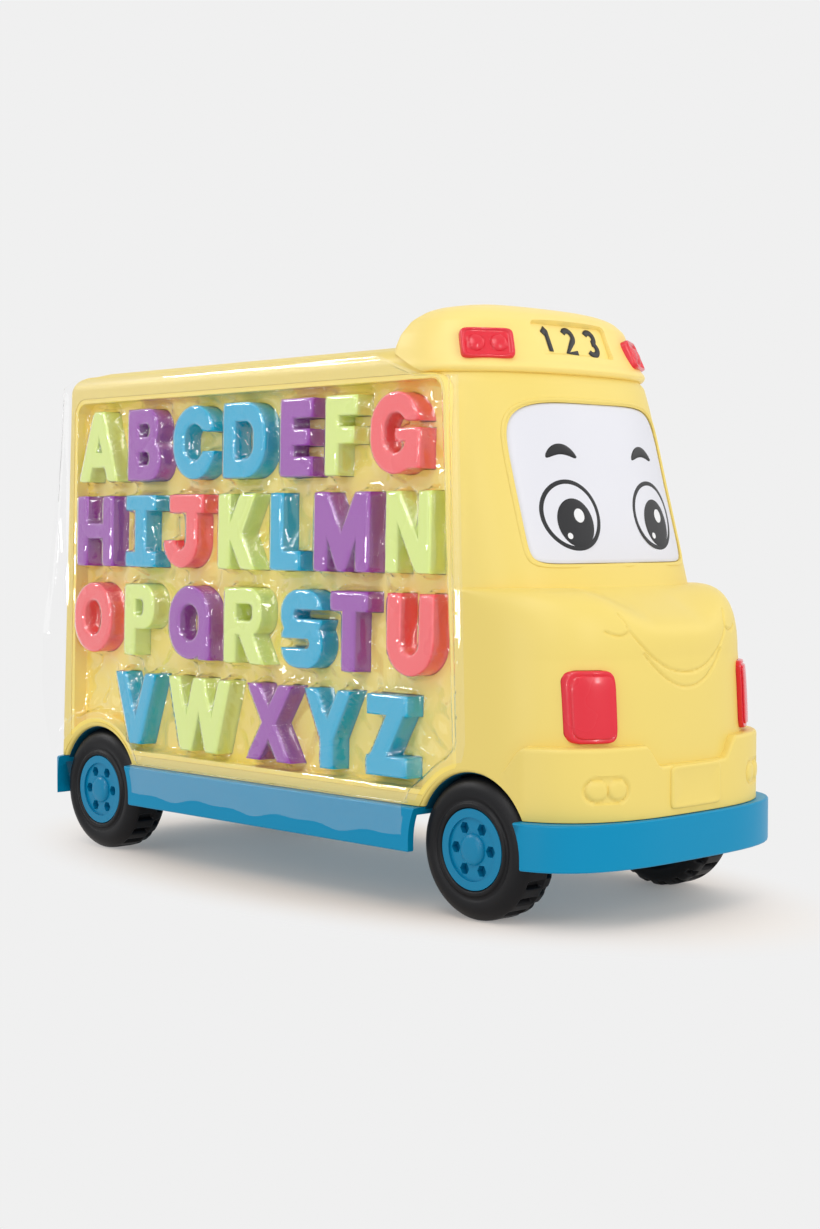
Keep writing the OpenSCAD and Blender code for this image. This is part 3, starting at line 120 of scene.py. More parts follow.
class BusColours(bpy.types.PropertyGroup):
    """Colours of the bus that a user would change."""
    shell: colour_setting("Shell", "Yellow of the body", (0.87, 0.68, 0.18))
    # painted sheen: the visor is the shell's own yellow, made lighter and whiter to stand in for the light and
    # sheen on its slanted front
    visor: colour_setting("Visor", "Paler yellow of the roof visor", (0.957, 0.748, 0.234))
    # painted light: the tray is the shell's own yellow, made lighter and warmer to stand in for the light
    # bounced about under the clear cover
    tray: colour_setting("Tray", "Warmer yellow of the letter tray", (0.99, 0.78, 0.18))
    chassis: colour_setting("Chassis", "Blue of chassis and battery door", (0.0, 0.27, 0.50))
    # painted shade: the hubs are the chassis's own blue, made darker to stand in for the shade in their recess
    hub: colour_setting("Hubs", "Blue of the hubs", (0.0, 0.225, 0.42))
    # painted shade: the wells are the chassis's own blue; their linings are made much darker to stand in for
    # the shade deep in the arches
    well: colour_setting("Wheel wells", "Deep blue of the shaded arch liners", (0.0, 0.075, 0.14))
    lamp: colour_setting("Lamps", "Red of the lamps", (0.78, 0.022, 0.042))
    tyre: colour_setting("Tyres", "Black of the tyres", (0.0045, 0.0045, 0.0058))
    screen: colour_setting("Windscreen", "White of the windscreen panel", (0.76, 0.76, 0.81))
    ink: colour_setting("Ink", "Dark print of eyes, brows and sign", (0.02, 0.02, 0.022))
    glint: colour_setting("Glints", "White print of the eyes' glints", (0.85, 0.85, 0.86))
    lime: colour_setting("Lime letters", "First letter colour", (0.76, 0.9, 0.25))
    purple: colour_setting("Purple letters", "Second letter colour", (0.33, 0.065, 0.43))
    blue: colour_setting("Blue letters", "Third letter colour", (0.001, 0.42, 0.68))
    coral: colour_setting("Coral letters", "Fourth letter colour", (0.98, 0.115, 0.13))
    backdrop: colour_setting("Backdrop", "Pale grey of floor and background", (0.871, 0.871, 0.871))
    # painted light: the floor is pale grey; its warm tint cancels the blue light that the chassis throws into
    # its shadow
    paper: colour_setting("Floor", "Warm white of the floor beside the bus", (0.96, 0.8, 0.67))


class BusSizes(bpy.types.PropertyGroup):
    """Sizes of the finishing forms that a user would change."""
    letter_edge: length_setting("Letter edge", "Radius of a letter's front edges", 0.0008)
    chassis_edge: length_setting("Chassis edge", "Radius of the bumper's edges", 0.0009)
    door_edge: length_setting("Door edge", "Radius of the battery door's edges", 0.0004)
    hub_edge: length_setting("Hub edge", "Radius of the hub's edges", 0.00035)
    film: length_setting("Film", "Thickness of the clear cover", 0.00035)
    smile_deep: length_setting("Smile", "Depth of the smile line", 0.0008)
    tread_notches: bpy.props.IntProperty(
        name="Tread notches", description="Notches in each band of a tyre's tread", default=22, min=8)


def colours():
    """The scene's colour settings."""
    return bpy.context.scene.bus_colours


def sizes():
    """The scene's size settings."""
    return bpy.context.scene.bus_sizes


# Mesh helpers

def smooth(t):
    """Smooth step from 0 to 1: 3t squared minus 2t cubed."""
    t = np.clip(t, 0, 1)
    return t * t * (3 - 2 * t)


def signed_power(v, p):
    """The value's sign times its size to a power."""
    return np.sign(v) * np.abs(v) ** p


def full_turn(count):
    """Angles once round, in even steps."""
    return np.radians(np.linspace(0, 360, count, endpoint=False))


def grid_faces(rows, columns, wrap_rows=False, wrap_columns=False):
    """Quads of a grid whose points run row by row; each quad joins a point to the next column and row."""
    r = np.arange(rows if wrap_rows else rows - 1)
    c = np.arange(columns if wrap_columns else columns - 1)
    a, b = np.meshgrid(r, c, indexing="ij")
    up, on = (a + 1) % rows, (b + 1) % columns
    return np.stack([a * columns + b, a * columns + on, up * columns + on, up * columns + b], -1).reshape(-1, 4)


def add_object(name, data):
    """A new object in the scene."""
    thing = bpy.data.objects.new(name, data)
    bpy.context.scene.collection.objects.link(thing)
    return thing


def shade_mesh(mesh, sharp):
    """Smooth shading, but for edges above an angle in degrees."""
    mesh.shade_smooth()
    mesh.set_sharp_from_angle(angle=math.radians(sharp))


def make_mesh(name, points, faces, sharp=40):
    """An object from points in millimetres and lists of face corners, with outward faces."""
    mesh = bpy.data.meshes.new(name)
    mesh.from_pydata((np.asarray(points, float) * MM).tolist(), [], [list(map(int, f)) for f in faces])
    mesh.validate()
    bm = bmesh.new()
    bm.from_mesh(mesh)
    bmesh.ops.recalc_face_normals(bm, faces=bm.faces)
    bm.to_mesh(mesh)
    bm.free()
    shade_mesh(mesh, sharp)
    return add_object(name, mesh)


def closed_loft(rings):
    """Points and faces of a solid through rings of equal length: side quads and one flat face at each end."""
    count, size = rings.shape[:2]
    faces = [tuple(f) for f in grid_faces(count, size, wrap_columns=True)]
    faces.append(tuple(range(size))[::-1])
    faces.append(tuple(range((count - 1) * size, count * size)))
    return rings.reshape(-1, 3), faces


def cut(piece, cutters, sharp=40):
    """Takes the cutters' volumes out of a piece, keeps the result as its mesh and deletes the cutters."""
    for tool in cutters:
        step = piece.modifiers.new("cut", "BOOLEAN")
        step.operation, step.solver, step.object = "DIFFERENCE", "EXACT", tool
    ready = piece.evaluated_get(bpy.context.evaluated_depsgraph_get())
    mesh = bpy.data.meshes.new_from_object(ready)
    piece.modifiers.clear()
    old = piece.data
    mesh.name = old.name + "_cut"
    piece.data = mesh
    bpy.data.meshes.remove(old)
    for tool in cutters:
        spare = tool.data
        bpy.data.objects.remove(tool)
        bpy.data.meshes.remove(spare)
    shade_mesh(mesh, sharp)


def finish_piece(piece, body, material, nodes=()):
    """Gives a piece its material, hides the CAD nodes that it stands for and ties it to its body."""
    piece.data.materials.clear()
    piece.data.materials.append(material)
    if nodes:
        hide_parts(*nodes)
    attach(piece, body)


def node_copy(node):
    """A merged copy of a CAD node's mesh with flat faces joined, as an edit mesh."""
    bm = bmesh.new()
    bm.from_mesh(frame["nodes"][node].data)
    bmesh.ops.remove_doubles(bm, verts=bm.verts, dist=2e-6)
    bmesh.ops.dissolve_limit(bm, angle_limit=math.radians(1), verts=bm.verts, edges=bm.edges)
    return bm


def looks_out(face):
    """True for a face that looks straight out of the letter side."""
    return face.normal.y < -0.99


def clear_corners(bm, reach, sharp=35):
    """Takes out the outline points of a letter's front that lie within reach of a sharp corner."""
    bm.normal_update()
    spare = set()
    for face in filter(looks_out, bm.faces):
        verts = [loop.vert for loop in face.loops]
        points = np.array([v.co for v in verts])
        ahead = np.roll(points, -1, axis=0) - points
        length = np.linalg.norm(ahead, axis=1)
        along = ahead / np.maximum(length, 1e-9)[:, None]
        turn = np.arccos(np.clip((along * np.roll(along, 1, axis=0)).sum(1), -1, 1))
        corner = turn > math.radians(sharp)
        size = len(verts)
        for i in np.nonzero(corner)[0]:
            for way in (1, -1):
                gone, j = 0.0, int(i)
                while True:
                    gone += length[j if way > 0 else j - 1]
                    j = (j + way) % size
                    if gone > reach or corner[j]:
                        break
                    spare.add(verts[j])
    edges = [e for v in spare for e in v.link_edges if not any(map(looks_out, e.link_faces))]
    bmesh.ops.dissolve_edges(bm, edges=list(set(edges)), use_verts=True)


def dressed_node(node, material, edge=0.0, segments=3, choose=None, least=30, sharp=35, room=0.0):
    """Replaces a CAD node by a copy whose chosen edges, or all sharp ones, are rounded by a small radius."""
    bm = node_copy(node)
    if room:
        clear_corners(bm, room)
    bm.normal_update()
    if edge > 0:
        chosen = [e for e in bm.edges if len(e.link_faces) == 2
                  and e.calc_face_angle(0) > math.radians(least) and (choose is None or choose(e))]
        bmesh.ops.bevel(bm, geom=chosen, offset=edge, offset_type="OFFSET", segments=segments, profile=0.5,
                        affect="EDGES", clamp_overlap=choose is None)
    mesh = bpy.data.meshes.new(node + "_finish")
    bm.to_mesh(mesh)
    bm.free()
    shade_mesh(mesh, sharp)
    piece = add_object(node + "_finish", mesh)
    # flat faces stay flat beside their rounded edges
    level = piece.modifiers.new("level", "WEIGHTED_NORMAL")
    level.keep_sharp, level.weight = True, 100
    finish_piece(piece, NODE_BODY[node], material, [node])
    return piece


# Body form

def half_at(z):
    """Half width of the body at a height: it narrows by the tangent of the side's lean."""
    return HALF_WIDTH - (z - BASE_Z) * math.tan(SIDE_LEAN)


def rear_at(z):
    """Place of the rear wall at a height."""
    return REAR_X + (z - BASE_Z) * REAR_LEAN


def levels(shares):
    """Rows of height, nose and nose depth from rows of shares."""
    shares = np.atleast_2d(shares)
    return np.stack([BASE_Z + shares[:, 0] * BODY_HIGH, NOSE_X - shares[:, 1] * NOSE_ROUND,
                     shares[:, 2] * NOSE_ROUND], 1)


LOW, CAB, ROOF = levels(LOW_SHARES), levels(CAB_SHARES), levels(ROOF_SHARES)[0]


def fine_profile(rows, z, reach=4.0):
    """Values of rows at heights z: straight between the rows, averaged over a short window of heights."""
    spread = np.linspace(-reach, reach, 9)
    inside = np.clip(z[:, None] + spread, rows[0, 0], rows[-1, 0])
    ends = np.minimum(z - rows[0, 0], rows[-1, 0] - z)[:, None]
    inside = np.where(ends < reach, z[:, None] + spread * np.clip(ends / reach, 0, 1), inside)
    return [np.interp(inside, rows[:, 0], rows[:, k]).mean(1) for k in range(1, rows.shape[1])]


def outline_angles(front, side, rear):
    """Where the outline's points lie: front angles, side shares and rear angles."""
    t = np.linspace(-1, 1, front + 1)
    # closer steps across the face, where the smile lies
    t = math.pi / 2 * (0.5 * t + 0.5 * t ** 3)
    return t, np.linspace(0, 1, side + 1)[1:-1], np.radians(np.linspace(90, 270, rear + 1))


def outline(angles, nose, depth, half, tail, tail_depth):
    """Closed outline: a half superellipse at the nose, straight sides, a half superellipse at the tail."""
    t, s, b = angles
    nose, depth, half, tail, tail_depth = [np.asarray(v, float)[..., None]
                                           for v in (nose, depth, half, tail, tail_depth)]
    fx = nose - depth + depth * np.maximum(0, np.cos(t)) ** (2 / FRONT_POWER)
    fy = half * signed_power(np.sin(t), 2 / FRONT_POWER)
    lx = nose - depth + (tail + tail_depth - nose + depth) * s
    bx = tail + tail_depth - tail_depth * np.maximum(0, -np.cos(b)) ** (2 / REAR_POWER)
    by = half * signed_power(np.sin(b), 2 / REAR_POWER)
    x = np.concatenate([fx, lx, bx, lx[..., ::-1]], -1)
    y = np.concatenate([fy, half + 0 * lx, by, -half + 0 * lx], -1)
    return np.stack([x, y], -1)


def at_heights(flat, z):
    """Flat outlines as rings, each at its own height."""
    return np.concatenate([flat, np.broadcast_to(z[:, None, None], flat.shape[:2] + (1,))], -1)


def level_rings(angles, z, nose, depth, grow):
    """Level outlines of the body at heights z, grown outwards."""
    flat = outline(angles, nose + grow, depth + grow, half_at(z) + grow, rear_at(z) - grow,
                   REAR_DEPTH + grow + 0 * z)
    return at_heights(flat, z + np.where(z > BASE_Z, grow, 0))


def bezier(a, b, c, d, t):
    """Cubic curve through a and d, pulled by b and c."""
    return (1 - t) ** 3 * a + 3 * (1 - t) ** 2 * t * b + 3 * (1 - t) * t * t * c + t ** 3 * d


def hood_rings(angles, t, grow):
    """Rings from the fascia's top to the cab's foot: low in the middle, swelling over both cheeks."""
    foot, top = level_rings(angles, *LOW[-1:].T, grow)[0], level_rings(angles, *CAB[:1].T, grow)[0]
    low, head = LOW[-1, 0], CAB[0, 0]
    out = np.abs(foot[:, 1]) / HALF_WIDTH
    cheek = smooth((out - DIP_FROM) / (DIP_TO - DIP_FROM))
    # on the flat walls the rings must rise steadily
    high = CHEEK_HIGH + (head - 1.0 - CHEEK_HIGH) * smooth((out - WALL_FROM) / WALL_OVER)
    t = t[:, None]
    along = bezier(0, 0, DIP_ALONG + (CHEEK_ALONG - DIP_ALONG) * cheek, 1, t)
    rise = bezier(low, DIP_LOW + (CHEEK_LOW - DIP_LOW) * cheek, DIP_HIGH + (high - DIP_HIGH) * cheek, head, t)
    # and evenly on the rear wall
    even = low + (head - low) * t
    rise = rise + (even - rise) * smooth((BACK_FROM - foot[:, 0]) / BACK_OVER)
    share = np.where(foot[:, 0] > 0, along, (rise - low) / (head - low))
    narrow = (half_at(rise) + grow) / (half_at(low) + grow)
    return np.stack([foot[:, 0] + (top[:, 0] - foot[:, 0]) * share, foot[:, 1] * narrow, rise + grow], -1)


def roof_rings(angles, steps, grow):
    """Rings round the roof's edge, on a quarter circle drawn out at the rear, and over its crown."""
    t = np.radians(np.linspace(0, 90, steps + 1))
    foot, nose, depth = ROOF
    inset = np.append(ROOF_RADIUS * (1 - np.cos(t)), [CROWN_INSET / 2, CROWN_INSET, CROWN_CENTRE])
    middle = (foot + ROOF_RADIUS + ROOF_Z - CROWN_DROP) / 2 + CROWN_LIFT
    z = np.append(foot + ROOF_RADIUS * np.sin(t), [middle, ROOF_Z - CROWN_DROP, ROOF_Z])
    flat = outline(angles, nose + grow - inset, depth + grow - inset, half_at(foot) + grow - inset,
                   rear_at(foot) - grow + ROOF_REAR * inset,
                   np.maximum(REAR_DEPTH + grow - inset, REAR_DEPTH / 2))
    return at_heights(flat, z + grow)


def body_rings(angles, grow, low_steps, hood_steps, cab_steps, roof_steps):
    """All rings of the body from its foot to its crown."""
    zl = np.linspace(BASE_Z, LOW[-1, 0], low_steps + 1)
    nose, depth = fine_profile(LOW, zl)
    zc = np.linspace(CAB[0, 0], CAB[-1, 0], cab_steps + 1)
    cab_nose, cab_depth = fine_profile(CAB, zc)
    return np.concatenate([
        level_rings(angles, zl, nose, depth, grow),
        hood_rings(angles, np.linspace(0, 1, hood_steps + 1)[1:-1], grow),
        level_rings(angles, zc, cab_nose, cab_depth, grow), roof_rings(angles, roof_steps, grow)])


def front_at(y, z):
    """The front of hood and cab: nose less depth plus depth on the superellipse over the width."""
    y, z = np.broadcast_arrays(np.asarray(y, float), np.asarray(z, float))
    low = z < DIP_LOW
    nose = np.where(low, np.interp(z, LOW[:, 0], LOW[:, 1]), np.interp(z, CAB[:, 0], CAB[:, 1]))
    depth = np.where(low, np.interp(z, LOW[:, 0], LOW[:, 2]), np.interp(z, CAB[:, 0], CAB[:, 2]))
    inside = np.maximum(0, 1 - (np.abs(y) / half_at(z)) ** FRONT_POWER)
    return nose - depth + depth * inside ** (1 / FRONT_POWER)


def smile_lines():
    """Mouth line, lower lip, cheek ticks and hooks as rows of y and z: parabolas and short arcs."""
    t = np.linspace(-1, 1, 161)
    k = np.linspace(0, 1, 40)
    lines = [np.stack([MOUTH_HALF * t, MOUTH_LOW + MOUTH_RISE * np.abs(t) ** MOUTH_POWER], 1),
             np.stack([LIP_HALF * t, LIP_LOW + LIP_RISE * t * t], 1)]
    for side, _ in SIDES:
        lines.append(np.stack([side * (TICK_Y + TICK_LONG * k), TICK_Z - TICK_BOW * np.sin(np.pi * k)], 1))
        lines.append(np.stack([side * (HOOK_Y + HOOK_OUT * k * k), HOOK_Z + HOOK_TALL * k], 1))
    return np.vstack(lines)


def smile_depth(y, z):
    """How far the surface is drawn in at y and z: a bell curve of the distance to the nearest smile line."""
    near = np.full(y.shape, np.inf)
    for py, pz in smile_lines():
        near = np.minimum(near, (y - py) ** 2 + (z - pz) ** 2)
    return np.exp(-near / (2 * LINE_WIDTH ** 2))


def on_side(u, v, n):
    """Points of the letter side's frame: u along the bus, v up the wall, n outwards, from the wall's foot."""
    c, s = math.cos(SIDE_LEAN), math.sin(SIDE_LEAN)
    u, v, n = np.broadcast_arrays(u, v, n)
    return np.stack([u, -HALF_WIDTH - n * c + v * s, BASE_Z + v * c + n * s], -1)


def rounded_outline(corners, radius, steps=12):
    """A polygon's outline with each corner replaced by an arc of a radius."""
    corners = np.asarray(corners, float)
    out = []
    for i, p in enumerate(corners):
        a = corners[i - 1] - p
        b = corners[(i + 1) % len(corners)] - p
        a, b = a / np.linalg.norm(a), b / np.linalg.norm(b)
        half = math.acos(float(np.clip(a @ b, -1, 1))) / 2
        reach = radius / math.tan(half)
        mid = p + (a + b) / np.linalg.norm(a + b) * radius / math.sin(half)
        start, end = p + a * reach - mid, p + b * reach - mid
        t = np.linspace(0, 1, steps + 1)[:, None]
        arc = start * (1 - t) + end * t
        out.append(mid + arc / np.linalg.norm(arc, axis=1, keepdims=True) * radius)
    return np.vstack(out)


def rounded_box(half_wide, half_tall, radius):
    """Outline of a box with rounded corners about the origin."""
    w, h = half_wide, half_tall
    return rounded_outline([[-w, -h], [w, -h], [w, h], [-w, h]], radius)


def dense(outline_points, step):
    """A closed outline with points no further apart than a step."""
    rows = []
    for a, b in zip(outline_points, np.roll(outline_points, -1, axis=0)):
        count = max(1, int(np.ceil(np.linalg.norm(b - a) / step)))
        rows.append(a + (b - a) * (np.arange(count) / count)[:, None])
    return np.vstack(rows)


def clear_of_arches(points, radius):
    """Points of the letter side with those inside a wheel arch's circle pushed out onto it."""
    points = np.array(points, float)
    for x in AXLES_X:
        centre = np.array([x, AXLE_Z - BASE_Z])
        away = points - centre
        far = np.linalg.norm(away, axis=-1, keepdims=True)
        points = np.where(far < radius, centre + away / np.maximum(far, 1e-6) * radius, points)
    return points


def tray_outline(grow):
    """Outline of the tray's opening, grown outwards; arcs take the place of what a wheel arch covers."""
    corners = TRAY + np.sign(TRAY - TRAY.mean(0)) * grow
    points = dense(rounded_outline(corners, TRAY_CORNER + grow), 1.5)
    radius = ARCH_RADIUS + TUB_WALL + 0.5 - grow
    for x in AXLES_X:
        centre = np.array([x, AXLE_Z - BASE_Z])
        inside = np.linalg.norm(points - centre, axis=1) < radius
        start = int(np.argmax(~inside & np.roll(inside, -1))) + 1
        points, inside = np.roll(points, -start, axis=0), np.roll(inside, -start)
        count = int(inside.sum())
        ends = [np.arctan2(*(q - centre)[::-1]) for q in (points[-1], points[count])]
        t = np.linspace(*ends, count + 2)[1:-1]
        arc = centre + radius * np.stack([np.cos(t), np.sin(t)], 1)
        points = np.vstack([arc, points[count:]])
    return points


def prism(name, base, top):
    """A closed prism between two outlines with equal numbers of points."""
    return make_mesh(name, *closed_loft(np.stack([base, top])))


# Finishes: the colour setting of each, then how it differs from plain plastic

FINISHES = {
    "shell_plastic": ("shell", dict(shade=0.93, cloud=0.3, gloss=0.36, pebble=0.04)),
    # visor: the shell yellow lightened and whitened as painted sheen
    "visor_plastic": ("visor", dict(shade=0.95, cloud=0.3, gloss=0.34, pebble=0.04)),
    # tray: the shell yellow lightened and warmed as painted light
    "tray_plastic": ("tray", dict(shade=0.94, cloud=0.3, gloss=0.34, pebble=0.03)),
    # well: the chassis blue darkened almost to black as painted shade
    "well_plastic": ("well", dict(shade=0.8, gloss=0.4, mirror=0.1)),
    # hub: the chassis blue darkened as painted shade
    "hub_plastic": ("hub", dict(shade=0.88, gloss=0.28, pebble=0.04, mirror=0.25)),
    "chassis_plastic": ("chassis", dict(shade=0.88, gloss=0.3, mirror=0.16)),
    "lamp_plastic": ("lamp", dict(shade=0.8, cloud=0.3, gloss=0.2, pebble=0.02, coat=0.3)),
    "tyre_rubber": ("tyre", dict(shade=0.7, cloud=0.5, gloss=0.4, pebble=0.12, grain=900, mirror=0.2)),
    "screen_plastic": ("screen", dict(shade=0.97, gloss=0.3, pebble=0.02)),
    "ink_print": ("ink", dict(shade=0.8, gloss=0.35, pebble=0.03)),
    "glint_print": ("glint", dict(shade=0.97, gloss=0.3, pebble=0.02)),
}


def set_inputs(node, **values):
    """Values for a node's inputs by name, with _ for each space."""
    for label, value in values.items():
        node.inputs[label.replace("_", " ")].default_value = value


def add_node(tree, kind, operation=None, **values):
    """A shader node with its operation and input values."""
    node = tree.nodes.new("ShaderNode" + kind)
    if operation:
        node.operation = operation
    set_inputs(node, **values)
    return node


def wire(tree, *links):
    """Links rows of node, output, node and input."""
    for source, output, sink, into in links:
        tree.links.new(source.outputs[output], sink.inputs[into])


def new_material(name, **values):
    """A material, its node tree and its Principled shader with input values."""
    material = bpy.data.materials.new(name)
    material.use_nodes = True
    shader = material.node_tree.nodes["Principled BSDF"]
    set_inputs(shader, **values)
    return material, material.node_tree, shader


def node_group(name, inputs, outputs):
    """An empty shader node group with named sockets."""
    group = bpy.data.node_groups.new(name, "ShaderNodeTree")
    for label, kind, value in inputs:
        socket = group.interface.new_socket(label, in_out="INPUT", socket_type=kind)
        socket.default_value = value
    for label, kind in outputs:
        group.interface.new_socket(label, in_out="OUTPUT", socket_type=kind)
    return group, group.nodes.new("NodeGroupInput"), group.nodes.new("NodeGroupOutput")


def moulded_group():
    """Moulded plastic: cloudy colour, uneven gloss and a fine pebbled normal, all from noise."""
    if "moulded_plastic" in bpy.data.node_groups:
        return bpy.data.node_groups["moulded_plastic"]
    group, source, sink = node_group(
        "moulded_plastic",
        [("Color", "NodeSocketColor", (1, 1, 1, 1)), ("Shade", "NodeSocketColor", (1, 1, 1, 1)),
         ("Cloud", "NodeSocketFloat", 0.1), ("Gloss", "NodeSocketFloat", 0.3),
         ("Pebble", "NodeSocketFloat", 0.05), ("Grain", "NodeSocketFloat", 1500.0)],
        [("Color", "NodeSocketColor"), ("Roughness", "NodeSocketFloat"), ("Normal", "NodeSocketVector")])
    place = add_node(group, "TexCoord")
    cloud = add_node(group, "TexNoise", Scale=22, Detail=3)
    amount = add_node(group, "Math", "MULTIPLY")
    mix = add_node(group, "Mix")
    mix.data_type = "RGBA"
    grain = add_node(group, "TexNoise", Detail=2)
    uneven = add_node(group, "Math", "MULTIPLY_ADD")
    uneven.inputs[1].default_value = 0.12
    bump = add_node(group, "Bump", Distance=0.0003)
    # a mix of colours has them on sockets 6 and 7 and its result on socket 2
    wire(group, (place, "Object", cloud, "Vector"), (cloud, "Fac", amount, 0), (source, "Cloud", amount, 1),
         (amount, 0, mix, 0), (source, "Color", mix, 6), (source, "Shade", mix, 7), (mix, 2, sink, "Color"),
         (place, "Object", grain, "Vector"), (source, "Grain", grain, "Scale"), (cloud, "Fac", uneven, 0),
         (source, "Gloss", uneven, 2), (uneven, 0, sink, "Roughness"), (source, "Pebble", bump, "Strength"),
         (grain, "Fac", bump, "Height"), (bump, "Normal", sink, "Normal"))
    return group


def plastic(name, colour, shade=0.86, cloud=0.25, gloss=0.25, pebble=0.05, grain=1500.0, coat=0.0, metal=0.0,
            mirror=0.3):
    """A moulded plastic or metal finish of one colour, with its cloudy shade, gloss and grain."""
    if name in bpy.data.materials:
        return bpy.data.materials[name]
    material, tree, shader = new_material(name, IOR=1.5, Specular_IOR_Level=mirror, Metallic=metal,
                                          Coat_Weight=coat, Coat_Roughness=0.08)
    look = add_node(tree, "Group")
    look.node_tree = moulded_group()
    set_inputs(look, Color=(*colour, 1), Shade=(*[c * shade for c in colour], 1), Cloud=cloud, Gloss=gloss,
               Pebble=pebble, Grain=grain)
    wire(tree, (look, "Color", shader, "Base Color"), (look, "Roughness", shader, "Roughness"),
         (look, "Normal", shader, "Normal"))
    return material


def surface(name):
    """A finish of the table in its colour setting."""
    setting, look = FINISHES[name]
    return plastic(name, getattr(colours(), setting), **look)


def letter_plastic(slot):
    """Satin finish of one letter colour, named by its record slot."""
    tint = getattr(colours(), slot.split("_")[1])
    return plastic(slot + "_plastic", tint, shade=0.9, gloss=0.22, pebble=0.03, grain=1100, mirror=0.4)


def plain_finish(slot):
    """Finish of a hidden or small node from its record slot: steel, board, rubber or plain plastic."""
    row = next(m for m in RECORD["materials"] if m["slot"] == slot)
    steel = row["class"] in ("brushed_steel", "chrome")
    return plastic(slot + "_finish", tuple(row["base_color"][:3]), shade=0.8, cloud=0.4,
                   gloss=0.28 if steel else 0.42, pebble=0.08, metal=1.0 if steel else 0.0)


def clear_film():
    """Clear thermoformed sheet: glass to the eye, open to shadow rays and diffuse rays."""
    material, tree, shader = new_material(
        "clear_film", Base_Color=(0.99, 0.99, 0.99, 1), Roughness=0.02, IOR=1.12, Transmission_Weight=1.0,
        Coat_Weight=1.0, Coat_IOR=1.5, Coat_Roughness=0.02)
    through, ray = add_node(tree, "BsdfTransparent"), add_node(tree, "LightPath")
    mix, either = add_node(tree, "MixShader"), add_node(tree, "Math", "MAXIMUM")
    wire(tree, (ray, "Is Shadow Ray", either, 0), (ray, "Is Diffuse Ray", either, 1), (either, 0, mix, 0),
         (shader, 0, mix, 1), (through, 0, mix, 2), (mix, 0, tree.nodes["Material Output"], "Surface"))
    return material


# Pieces

